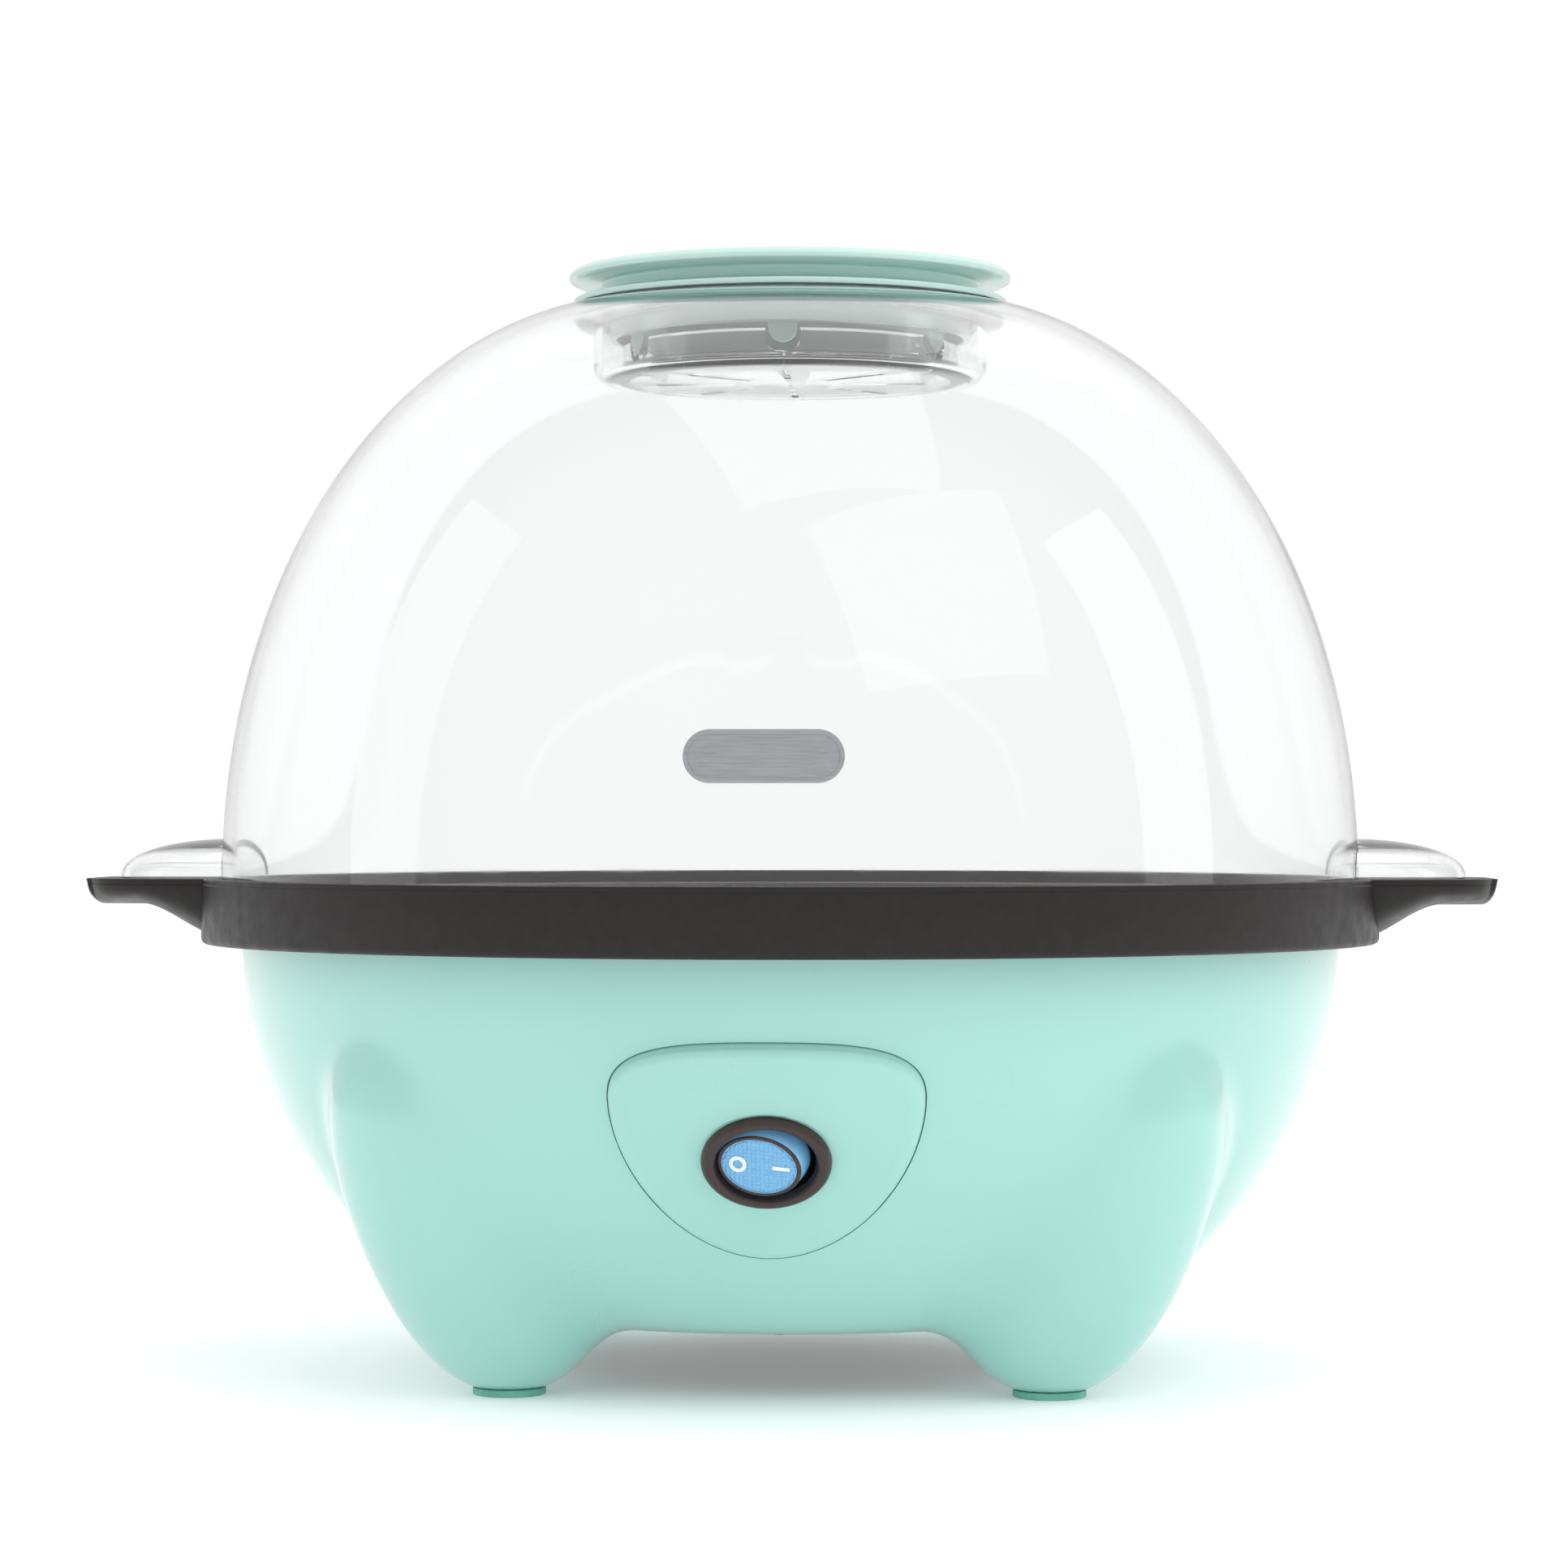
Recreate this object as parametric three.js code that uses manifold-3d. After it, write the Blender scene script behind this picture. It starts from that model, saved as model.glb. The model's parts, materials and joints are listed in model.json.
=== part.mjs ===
// A stirring popcorn maker: a clear dome over a heated dish, on a bowl-shaped base with four legs.
// Millimetres, +Z up, the switch towards -Y. The origin is on the floor, under the middle.
import * as THREE from "three";
import { mergeVertices } from "three/addons/utils/BufferGeometryUtils.js";
import Module from "manifold-3d";

const wasm = await Module();
wasm.setup();

// ---------------------------------------------------------------- driving dimensions
const GAP = 0.3; // between pieces that touch
const ROUND = 32; // facets round the large turned pieces

// collar and base
const RING_RADIUS = 155.5;
const RING_TOP = 129;
const RING_HEIGHT = 17;
const RING_WALL = 3.7;
const RING_OVERHANG = 10.2; // from the base's wall out to the collar's face
const RING_WEB = 2.6;
const HANDLE_REACH = 30; // from the collar out to the handle's tip
const HANDLE_WIDTH = 67.4;
const HANDLE_TIP = 6.9; // thickness at the tip
const HANDLE_ROOT = 15.3; // thickness at the collar
const BASE_CLEARANCE = 17; // floor to the underside
const BASE_WALL = 2.6;
const BASE_FLOOR = 5;
const LEG_RADIUS = 31;
const LEG_TOP = 84;
const LEG_LEAN = 39; // how far the leg's middle moves outward from foot to top
const LEG_WALL = 3;
const FOOT_INSET = 49.3; // from the base's wall in to the foot's middle
const FOOT_FLOOR = 3.8;
const PAD_RADIUS = 9.2;
const PAD_HEIGHT = 1.9;
const PAD_STEM = 3;
const PAD_SNAP = 1; // how far the snap head stands out round the stem
const PAD_HEAD = 2.4; // height of the snap head

// dish, heater and shield
const DISH_DEPTH = 32;
const DISH_FLAT_INSET = 54; // from the dish's rim in to its flat floor
const DISH_WALL_INSET = 13.5;
const DISH_FLOOR = 2.5;
const DISH_WALL = 2.2;
const DISH_FLANGE = 1.3;
const DISH_LEDGE = 10.7; // width of the collar's ledge under the flange
const HEATER_TUBE = 3.5; // radius
const HEATER_INSET = 8;
const HEATER_GAP_DEG = 14; // half of the open angle between its cold ends
const BOSS_INSET = 20; // from the heater in to the screw bosses
const BOSS_RADIUS = 4.5;
const SHIELD_DROP = 22; // under the dish's floor
const SHIELD_SHEET = 0.8;
const SHIELD_MARGIN = 16;
const SHIELD_RIM = 9;
const THERMOSTAT_RADIUS = 9;
const THERMOSTAT_HEIGHT = 9.5;
const THERMOSTAT_OUT = 33; // from the axis
const FUSE_RADIUS = 2.1;
const FUSE_LENGTH = 12;

// dome and cap
const DOME_LEDGE = 5.3; // from the collar's face in to the dome
const DOME_HEIGHT = 153.8;
const DOME_WALL = 2.4;
const SEAT_DEPTH = 2.6; // how deep the dome's edge sits in the collar
const WELL_RIM = 57; // radius
const WELL_RADIUS = 52.4;
const WELL_DEPTH = 20;
const WELL_WALL = 2.2;
const WELL_COLLAR = 43.6; // middle radius of the low wall that the cap's tabs drop into
const WELL_COLLAR_HEIGHT = 8;
const WELL_SLOTS = 8;
const WELL_SLOT_WIDTH = 1.8;
const WELL_SLOT_REACH = [14, 36]; // from the axis
const WING_LENGTH = 29.5;
const WING_HEIGHT = 10;
const WING_WIDTH = 58;
const CAP_TOP = 9.5; // above the dome's rim
const CAP_FLANGE = 3.3;
const CAP_FLANGE_OUT = 1.7; // beyond the dome's rim
const CAP_WAIST_IN = 7;
const CAP_BRIM = 2.6;
const CAP_WALL = 2;
const CAP_SKIRT = 8.5; // depth below the dome's rim
const CAP_TABS = 6;
const TAB_WIDTH = 7.4;
const TAB_LENGTH = 5;
const BADGE_WIDTH = 38;
const BADGE_HEIGHT = 12.6;
const BADGE_THICK = 0.8;
const BADGE_RISE = 30.5; // collar's top to the badge's middle
const BADGE_CORNER_STEPS = 6;

// switch and its panel
const SWITCH_Z = 64.4;
const SWITCH_HALF = 15.6; // half the bezel's width
const SWITCH_OVAL = 0.79; // height over width
const BEZEL_RIM = 3.5;
const BEZEL_HEIGHT = 2.3;
const SWITCH_DEPTH = 16.5;
const SWITCH_WALL = 0.9;
const ROCKER_RISE = 8; // pivot to face
const ROCKER_PIVOT = -6; // against the panel's surface
const ROCKER_TILT_DEG = 12;
const PANEL_WIDTH = 75.4;
const PANEL_UP = 29; // above the switch's middle, along the slope
const PANEL_DOWN = 30.2;
const PANEL_OUT = 4; // how far its skin is pushed out and up from the base's wall
const PANEL_LIFT = 3.1;

// motor and gears
const MOTOR_AIR = 6; // over the bottom cover
const GEAR_MODULE = 0.75;
const WHEEL_TEETH = 36;
const PINION_TEETH = 12;
const GEAR_FACE = 2.8;
const BACKLASH = 0.14;
const CAN_WALL = 1;
const CAN_CLEAR = 0.8;
const COIL_HEIGHT = 9;
const ROTOR_RADIUS = 15;
const PIN_RADIUS = 1;
const RUNNING = 0.05; // radial clearance of what turns
const SHAFT_RADIUS = 3.5;
const BRACKET_WIDTH = 22;
const BRACKET_SHEET = 1.2;
const EAR_OUT = 5; // from the can's side out to the gearbox cover's screws
const RIVET_OUT = 22; // from the can's side out to the strap's rivets
const RIVET_HEAD = 3;
const GEAR_PLATE = 1;
const GEARBOX_PLATE = 1.5;
const BEARING_HEIGHT = 4.5;

// stirrer
const BUSH_RADIUS = 6.2;
const HUB_RADIUS = 9;
const HUB_HEIGHT = 12.5;
const WIRE_RADIUS = 2;
const WIRE_CLEARANCE = 1.3; // over the dish
const NUT_RADIUS = 7;
const NUT_HEIGHT = 7.5;

// fasteners and mains inlet
const SCREW_RADIUS = 1.5;
const SCREW_HEAD = 2.8;
const SCREW_HOLE = 1.9;
const COVER_PLATE = 2.2;
const COVER_LEDGE = 8;
const COVER_POST = 3.6; // radius of the posts that take the cover's screws
const VENTS = 5;
const VENT_LENGTH = 40;
const VENT_WIDTH = 3.5;
const VENT_PITCH = 9;
const LUG_WIDTH = 8;
const LUG_THICK = 3;
const LUG_INSET = 4.6; // from the base's inner face in to the collar's screws
const POST_RADIUS = 2.9; // of the collar's screw posts
const GLAND_Z = 50;
const GLAND_BORE = 3.7;
const GLAND_BODY = 6.5;
const GLAND_FLANGE = 9.5;
const LEAD_RADIUS = 1.3;
const BLOCK_LENGTH = 26;
const BLOCK_WIDTH = 10;
const BLOCK_HEIGHT = 9;
const BLOCK_POST = 3; // how far the terminal block stands over the floor
const TERMINAL_SPACING = 10;
const TERMINAL_WIDTH = 6.3;
const TERMINAL_SHEET = 0.8;
const TERMINAL_REACH = 8; // out of the switch's back

// ---------------------------------------------------------------- sizes that follow
const baseRadius = RING_RADIUS - RING_OVERHANG;
const webBottom = RING_TOP - SEAT_DEPTH - 2 * RING_WEB + 0.2;
const baseTop = webBottom - GAP;
const seatZ = RING_TOP - SEAT_DEPTH;
const ledgeZ = webBottom + RING_WEB;
const domeRadius = RING_RADIUS - DOME_LEDGE;
const domeFoot = seatZ + GAP;
const domeTop = domeFoot + DOME_HEIGHT;
const dishRadius = domeRadius - DOME_WALL - 1.6;
const dishFloorZ = RING_TOP - DISH_DEPTH;
const dishFlat = dishRadius - DISH_FLAT_INSET;
const dishUnder = dishFloorZ - DISH_FLOOR;
const heaterRadius = dishFlat - HEATER_INSET;
const heaterZ = dishUnder - GAP - HEATER_TUBE;
const bossCircle = heaterRadius - BOSS_INSET;
const shieldZ = dishUnder - SHIELD_DROP;
const shieldRadius = heaterRadius + SHIELD_MARGIN;
const footCircle = baseRadius - FOOT_INSET;
const coverRadius = footCircle - LEG_RADIUS + 3;
const coverTop = BASE_CLEARANCE + COVER_PLATE;
const cavityFloor = BASE_CLEARANCE + BASE_FLOOR;
const wellFloor = domeTop - WELL_DEPTH;
const legMiddle = LEG_TOP / 2;
const footTop = PAD_HEIGHT + GAP + FOOT_FLOOR; // the top of the leg's floor, where the pad's head snaps in
const legs = [45, 135, 225, 315].map(THREE.MathUtils.degToRad);
const lugCircle = baseRadius - BASE_WALL - LUG_INSET;
const lugAngles = [30, 150, 210, 330].map(THREE.MathUtils.degToRad);
const lugTop = webBottom - 5;
const coverScrewCircle = coverRadius - COVER_LEDGE / 2;
const coverScrewAngles = [0, 90, 180, 270].map(THREE.MathUtils.degToRad);
const bossAngles = [90, 210, 330].map(THREE.MathUtils.degToRad);
const bossFoot = shieldZ + SHIELD_SHEET + GAP;
const capDish = CAP_TOP - GAP - CAP_BRIM - CAP_WALL; // so that the cap's top wall is level with its brim
const tabAngles = Array.from({ length: CAP_TABS }, (_, i) => Math.PI / 6 + (2 * Math.PI * i) / CAP_TABS);
const terminalX = [-TERMINAL_SPACING / 2, TERMINAL_SPACING / 2];
const halfSheet = TERMINAL_SHEET / 2;
const halfTab = TERMINAL_WIDTH / 2;

const centreDistance = (GEAR_MODULE * (WHEEL_TEETH + PINION_TEETH)) / 2;
const wheelTip = GEAR_MODULE * (WHEEL_TEETH / 2 + 0.9);
const canRadius = centreDistance + wheelTip + CAN_CLEAR + CAN_WALL;
const motorZ = coverTop + MOTOR_AIR;
const coilZ = motorZ + CAN_WALL + GAP;
const gearPlateZ = coilZ + COIL_HEIGHT + GAP;
const firstGearZ = gearPlateZ + GEAR_PLATE + 0.4;
const secondGearZ = firstGearZ + GEAR_FACE + 0.6;
const gearTop = secondGearZ + GEAR_FACE;
const gearCoverZ = gearTop + 1;
const gearCoverTop = gearCoverZ + GEARBOX_PLATE;
const bracketZ = gearCoverTop + GAP;
const shaftTop = dishFloorZ + HUB_HEIGHT + 4.4;
const hubZ = dishFloorZ + 2.2;
const wireZ = hubZ + 5;
const earX = canRadius + EAR_OUT;
const rivetX = canRadius + RIVET_OUT;

const blockY = coverRadius + 12;
const blockFoot = cavityFloor + BLOCK_POST + GAP;
const blockZ = blockFoot + BLOCK_HEIGHT / 2 + 0.3;
const leadStart = blockY - BLOCK_WIDTH / 2 - 0.6;
const cellX = [-BLOCK_LENGTH / 2 + 4.5, BLOCK_LENGTH / 2 - 4.5];
const leadRing = (coverRadius + canRadius) / 2 + 2;
const leadLow = motorZ + 4;
const leadHigh = shieldZ - 8.5;
const tagEnd = TERMINAL_REACH + LEAD_RADIUS + 0.1;

// ---------------------------------------------------------------- finishes
const paint = (color, roughness, metalness = 0) =>
  new THREE.MeshStandardMaterial({ color, roughness, metalness });
const MINT = 0xaddfd4;
const CHARCOAL = 0x3a3431;
const mint = () => paint(MINT, 0.2);
const charcoal = () => paint(CHARCOAL, 0.5);
const steel = () => paint(0xb9bcbf, 0.35, 0.9);
const brass = () => paint(0xc9a65a, 0.35, 0.9);
const nylon = () => paint(0xe9e6dc, 0.5);
const clear = () =>
  new THREE.MeshStandardMaterial({ color: 0xeef2f3, roughness: 0.05, transparent: true, opacity: 0.3 });

// ---------------------------------------------------------------- shapes
// A closed surface as a manifold-3d solid, without the slivers that a turned profile leaves on its axis.
function toSolid(geometry) {
  const bare = geometry.index ? geometry.toNonIndexed() : geometry.clone();
  bare.deleteAttribute("normal");
  bare.deleteAttribute("uv");
  const merged = mergeVertices(bare, 1e-4);
  const index = merged.index.array;
  const triVerts = [];
  for (let i = 0; i < index.length; i += 3) {
    const [a, b, c] = index.subarray(i, i + 3);
    if (a !== b && b !== c && c !== a) triVerts.push(a, b, c);
  }
  const vertProperties = merged.attributes.position.array;
  return new wasm.Manifold(
    new wasm.Mesh({ numProp: 3, vertProperties, triVerts: new Uint32Array(triVerts) }),
  );
}

function toGeometry(body) {
  const { vertProperties, triVerts } = body.getMesh();
  return new THREE.BufferGeometry()
    .setAttribute("position", new THREE.BufferAttribute(vertProperties, 3))
    .setIndex(new THREE.BufferAttribute(triVerts, 1));
}

const join = (...parts) => toGeometry(parts.map(toSolid).reduce((a, b) => a.add(b)));
const meet = (a, b) => toGeometry(toSolid(a).intersect(toSolid(b)));
const cut = (body, ...tools) =>
  toGeometry(tools.map(toSolid).reduce((rest, tool) => rest.subtract(tool), toSolid(body)));

// Turns a closed outline of [radius, z] points about Z.
function turned(outline, facets = ROUND) {
  const area = outline.reduce((sum, [r, z], i) => {
    const [nextR, nextZ] = outline[(i + 1) % outline.length];
    return sum + r * nextZ - nextR * z;
  }, 0);
  const points = outline.map(([r, z]) => new THREE.Vector2(r, z));
  if (area < 0) points.reverse();
  points.push(points[0].clone());
  return new THREE.LatheGeometry(points, facets).rotateX(Math.PI / 2);
}

const rod = (radius, low, high, facets = 16) =>
  turned([[0, low], [radius, low], [radius, high], [0, high]], facets);

const sleeve = (inner, outer, low, high, facets = 16) =>
  turned([[inner, low], [outer, low], [outer, high], [inner, high]], facets);

function box([x0, x1], [y0, y1], [z0, z1]) {
  return new THREE.BoxGeometry(x1 - x0, y1 - y0, z1 - z0)
    .translate((x0 + x1) / 2, (y0 + y1) / 2, (z0 + z1) / 2);
}

const prism = (shape, low, high, curveSegments = 8) =>
  new THREE.ExtrudeGeometry(shape, { depth: high - low, bevelEnabled: false, curveSegments })
    .translate(0, 0, low);

// A round wire through a list of points.
function wire(points, radius, steps, sides) {
  const section = new THREE.Shape();
  for (let i = 0; i < sides; i++) {
    const angle = (2 * Math.PI * i) / sides;
    const [x, y] = [radius * Math.cos(angle), radius * Math.sin(angle)];
    if (i) section.lineTo(x, y);
    else section.moveTo(x, y);
  }
  const path = new THREE.CatmullRomCurve3(points.map((p) => new THREE.Vector3(...p)), false, "centripetal");
  return new THREE.ExtrudeGeometry(section, { steps, extrudePath: path, bevelEnabled: false });
}

// Skins a row of rings that each hold the same number of points, and closes both ends.
function loft(rings) {
  const count = rings[0].length;
  const positions = rings.flat();
  const faces = [];
  for (let i = 0; i + 1 < rings.length; i++) {
    for (let j = 0; j < count; j++) {
      const k = (j + 1) % count;
      const [a, b, c, d] = [i * count + j, i * count + k, (i + 1) * count + j, (i + 1) * count + k];
      faces.push(a, b, c, b, d, c);
    }
  }
  const last = (rings.length - 1) * count;
  for (let j = 1; j + 1 < count; j++) faces.push(0, j + 1, j, last, last + j, last + j + 1);
  return new THREE.BufferGeometry()
    .setAttribute("position", new THREE.Float32BufferAttribute(positions.flat(), 3))
    .setIndex(faces);
}

const spun = (geometry, angle) => geometry.clone().rotateZ(angle);
const atPolar = (radius, angle) => [radius * Math.cos(angle), radius * Math.sin(angle)];

const popcornMaker = new THREE.Group();

function piece(name, geometry, material, parent = popcornMaker) {
  const shown = geometry.index ? geometry.toNonIndexed() : geometry;
  shown.computeVertexNormals();
  const mesh = new THREE.Mesh(shown, material);
  mesh.name = name;
  parent.add(mesh);
  return mesh;
}

// A pan-head screw whose head's bearing face is at z = 0 and whose shank points up.
const screw = (length, radius = SCREW_RADIUS) =>
  turned([[0, -2], [SCREW_HEAD - 0.7, -2], [SCREW_HEAD, -1], [SCREW_HEAD, 0], [radius, 0],
    [radius, length], [0, length]], 6);

// ---------------------------------------------------------------- the base's wall
// The outer curve from the rim, down the side and round the heel to the flat underside.
const rise = baseTop - BASE_CLEARANCE;
const wallPoint = (share, height) => new THREE.Vector2(share * baseRadius, BASE_CLEARANCE + height * rise);
const baseSide = new THREE.CubicBezierCurve(
  wallPoint(1, 1), wallPoint(1, 0.576), wallPoint(0.8686, 0.313), wallPoint(0.75, 0.137),
);
const baseHeel = new THREE.QuadraticBezierCurve(
  wallPoint(0.75, 0.137), wallPoint(0.658, 0), wallPoint(0.57, 0),
);

// Points of a curve moved square to it, inwards when the distance is positive.
function offsetCurve(curve, steps, inwards) {
  const points = [];
  for (let i = 0; i <= steps; i++) {
    const point = curve.getPoint(i / steps);
    const along = curve.getTangent(i / steps);
    points.push([point.x + along.y * inwards, point.y - along.x * inwards]);
  }
  return points;
}

const wallOutline = (inwards) => [
  ...offsetCurve(baseSide, 6, inwards),
  ...offsetCurve(baseHeel, 3, inwards).slice(1),
];

// The base's radius and slope at a height, found on its side curve.
function wallAt(z) {
  let [low, high] = [0, 1];
  for (let i = 0; i < 40; i++) {
    const middle = (low + high) / 2;
    if (baseSide.getPoint(middle).y > z) low = middle;
    else high = middle;
  }
  const along = baseSide.getTangent(low);
  return { radius: baseSide.getPoint(low).x, tilt: Math.atan2(-along.x, -along.y) };
}

// A filled copy of the base's outside, grown square to its wall.
const baseBlank = (grow) => {
  const outline = wallOutline(-grow);
  return turned([[0, baseTop], ...outline, [0, outline.at(-1)[1]]]);
};

// ---------------------------------------------------------------- frame of the switch
const switchSeat = wallAt(SWITCH_Z);
const panelThick = PANEL_OUT * Math.cos(switchSeat.tilt) - PANEL_LIFT * Math.sin(switchSeat.tilt);
const switchFrame = new THREE.Group();
switchFrame.rotation.x = Math.PI / 2 + switchSeat.tilt;
switchFrame.position.set(
  0,
  -switchSeat.radius - panelThick * Math.cos(switchSeat.tilt),
  SWITCH_Z - panelThick * Math.sin(switchSeat.tilt),
);
switchFrame.updateMatrixWorld();
const onSwitch = (geometry) => geometry.clone().applyMatrix4(switchFrame.matrixWorld);
const oval = (half, low, high, facets = 24) => rod(half, low, high, facets).scale(1, SWITCH_OVAL, 1);
const tubeHalf = SWITCH_HALF - BEZEL_RIM + SWITCH_WALL;
const seatDrop = -0.8; // the flat round the bezel, under the panel's surface

// ---------------------------------------------------------------- base
// One leg as a sphere stretched to its height, its middle leaning outward with the square of the height.
function leg(inwards, facets) {
  const radius = LEG_RADIUS - inwards;
  const shape = new THREE.SphereGeometry(1, facets, facets * 0.6).rotateX(Math.PI / 2);
  const at = shape.attributes.position;
  for (let i = 0; i < at.count; i++) {
    const z = legMiddle + (legMiddle - inwards) * at.getZ(i);
    const middle = footCircle + LEG_LEAN * (z / LEG_TOP) ** 2;
    at.setXYZ(i, middle + radius * at.getX(i), radius * at.getY(i), z);
  }
  return shape;
}

const glandFace = wallAt(GLAND_Z + GLAND_FLANGE + 2).radius + 1;

function baseHousing() {
  const glandBoss = rod(GLAND_FLANGE + 2.5, glandFace - 22, glandFace, 20)
    .rotateX(-Math.PI / 2).translate(0, 0, GLAND_Z);
  const outside = join(baseBlank(0), glandBoss, ...legs.map((angle) => spun(leg(0, 12), angle)));
  const inner = wallOutline(BASE_WALL).filter(([, z]) => z > cavityFloor + 1);
  const cavity = turned([
    [0, baseTop + 1], [baseRadius - BASE_WALL, baseTop + 1], ...inner,
    [inner.at(-1)[0] - 1, cavityFloor], [0, cavityFloor],
  ]);
  const wide = [-2 * baseRadius, 2 * baseRadius];
  const hollowLeg = cut(leg(LEG_WALL, 8), box(wide, wide, [-1, footTop]));
  const floorCut = box(wide, wide, [-9, PAD_HEIGHT + GAP]);
  const glandHole = rod(GLAND_BODY + GAP, glandFace - 30, glandFace + 9, 20)
    .rotateX(-Math.PI / 2).translate(0, 0, GLAND_Z);
  const stemHole = turned([
    [0, 0], [PAD_STEM + GAP, 0], [PAD_STEM + GAP, footTop], [PAD_STEM + PAD_SNAP + 1, footTop],
    [PAD_STEM + PAD_SNAP + 1, footTop + PAD_HEAD + 1], [0, footTop + PAD_HEAD + 1],
  ], 8);
  const stemHoles = legs.map((angle) => stemHole.clone().translate(...atPolar(footCircle, angle), 0));
  const shell = cut(
    outside, cavity, ...legs.map((angle) => spun(hollowLeg, angle)), floorCut, glandHole, ...stemHoles,
    onSwitch(oval(tubeHalf + 0.4, -30, 9)),
    rod(coverRadius - COVER_LEDGE, 0, cavityFloor + 1, 32),
    rod(coverRadius + GAP, 0, coverTop + GAP, 32),
  );
  const lugLength = baseRadius - BASE_WALL / 2 - lugCircle;
  const lugs = lugAngles.map((angle) => spun(
    cut(
      box([lugCircle - LUG_WIDTH / 2, lugCircle + lugLength], [-LUG_WIDTH / 2, LUG_WIDTH / 2],
        [lugTop - LUG_THICK, lugTop]),
      rod(SCREW_HOLE, lugTop - 9, lugTop + 9, 8).translate(lugCircle, 0, 0),
    ), angle));
  const coverPosts = coverScrewAngles.map((angle) =>
    rod(COVER_POST, coverTop + 1, cavityFloor + 5, 10).translate(...atPolar(coverScrewCircle, angle), 0));
  const pilots = coverScrewAngles.map((angle) =>
    rod(SCREW_HOLE, 0, cavityFloor + 4, 8).translate(...atPolar(coverScrewCircle, angle), 0));
  const blockPost = cut(
    rod(COVER_POST, cavityFloor - 1, cavityFloor + BLOCK_POST, 8),
    rod(SCREW_RADIUS + GAP, cavityFloor - 0.5, 99, 8),
  ).translate(0, blockY, 0);
  return cut(join(shell, ...lugs, ...coverPosts, blockPost), ...pilots);
}

function bottomCover() {
  const plate = turned([
    [0, BASE_CLEARANCE], [coverRadius, BASE_CLEARANCE], [coverRadius, coverTop],
    [coverRadius - COVER_LEDGE - 2, coverTop], [coverRadius - COVER_LEDGE - 2, coverTop + 1.6],
    [coverRadius - COVER_LEDGE - 4, coverTop + 1.6], [coverRadius - COVER_LEDGE - 4, coverTop],
    [0, coverTop],
  ], 32);
  const slots = Array.from({ length: VENTS }, (_, row) => {
    const y = (row - (VENTS - 1) / 2) * VENT_PITCH;
    return box(
      [-VENT_LENGTH / 2, VENT_LENGTH / 2], [y - VENT_WIDTH / 2, y + VENT_WIDTH / 2], [0, coverTop + 5],
    );
  });
  const holes = coverScrewAngles.map((angle) =>
    rod(SCREW_HOLE, 0, 40, 8).translate(...atPolar(coverScrewCircle, angle), 0));
  return cut(plate, ...slots, ...holes);
}

// A rubber foot pushed up through the leg's floor, with a snap head above it.
function footPad() {
  const headZ = footTop + GAP;
  return turned([
    [0, 0], [PAD_RADIUS - 0.5, 0], [PAD_RADIUS, 0.5], [PAD_RADIUS, PAD_HEIGHT], [PAD_STEM, PAD_HEIGHT],
    [PAD_STEM, headZ], [PAD_STEM + PAD_SNAP, headZ], [PAD_STEM - 0.6, headZ + PAD_HEAD],
    [0, headZ + PAD_HEAD],
  ], 12);
}

// ---------------------------------------------------------------- collar with two handles
// Half a boat-shaped handle: its rings are a flat top over a round underside.
function handle() {
  const from = RING_RADIUS - RING_WALL - 9;
  const reach = RING_RADIUS + HANDLE_REACH - from;
  const round = 0.985; // the plan outline stops just short of its point, which leaves a flat end
  const rings = [0, 0.25, 0.36, 0.46, 0.58, 0.72, 0.86, 0.95, 1].map((t) => {
    const half = (HANDLE_WIDTH / 2) * (1 - (round * t) ** 3.2) ** (1 / 3.2);
    const swell = Math.max(0, 1 - Math.max(0, t - 0.25) / 0.42);
    const depth = HANDLE_TIP + (HANDLE_ROOT - HANDLE_TIP) * swell ** 2;
    const ring = [];
    for (let i = 0; i <= 8; i++) {
      const angle = (Math.PI * i) / 8;
      const across = Math.sign(Math.cos(angle)) * Math.abs(Math.cos(angle)) ** 0.8;
      ring.push([from + t * reach, -half * across, RING_TOP - depth * Math.sin(angle) ** 0.8]);
    }
    return ring;
  });
  return cut(loft(rings), rod(RING_RADIUS - RING_WALL / 2, 0, RING_TOP + 9, ROUND));
}

function rimRing() {
  const low = RING_TOP - RING_HEIGHT;
  const collar = turned([
    [RING_RADIUS - RING_WALL, low], [RING_RADIUS - 0.8, low], [RING_RADIUS, low + 0.8],
    [RING_RADIUS, RING_TOP - 0.6], [RING_RADIUS - 0.6, RING_TOP], [domeRadius + 1, RING_TOP],
    [domeRadius + 1, seatZ], [dishRadius + 0.6, seatZ], [dishRadius + 0.6, ledgeZ],
    [dishRadius - DISH_LEDGE, ledgeZ], [dishRadius - DISH_LEDGE, webBottom],
    [RING_RADIUS - RING_WALL, webBottom],
  ]);
  const posts = lugAngles.map((angle) => spun(
    cut(
      rod(POST_RADIUS, lugTop + GAP, webBottom + 1, 10),
      rod(SCREW_RADIUS + GAP, 0, webBottom - 0.5, 8),
    ).translate(lugCircle, 0, 0), angle));
  return join(collar, handle(), spun(handle(), Math.PI), ...posts);
}

// ---------------------------------------------------------------- dish, heater and shield
// The dish's wall rises from its flat floor as a quarter of an ellipse.
function dishWall(grow, drop, steps) {
  const across = dishRadius - DISH_WALL_INSET - dishFlat + grow;
  const down = ledgeZ - 1 - dishFloorZ + drop;
  return Array.from({ length: steps + 1 }, (_, i) => {
    const angle = (Math.PI / 2) * (i / steps);
    return [dishFlat + across * Math.sin(angle), ledgeZ - 1 - down * Math.cos(angle)];
  });
}

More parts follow.
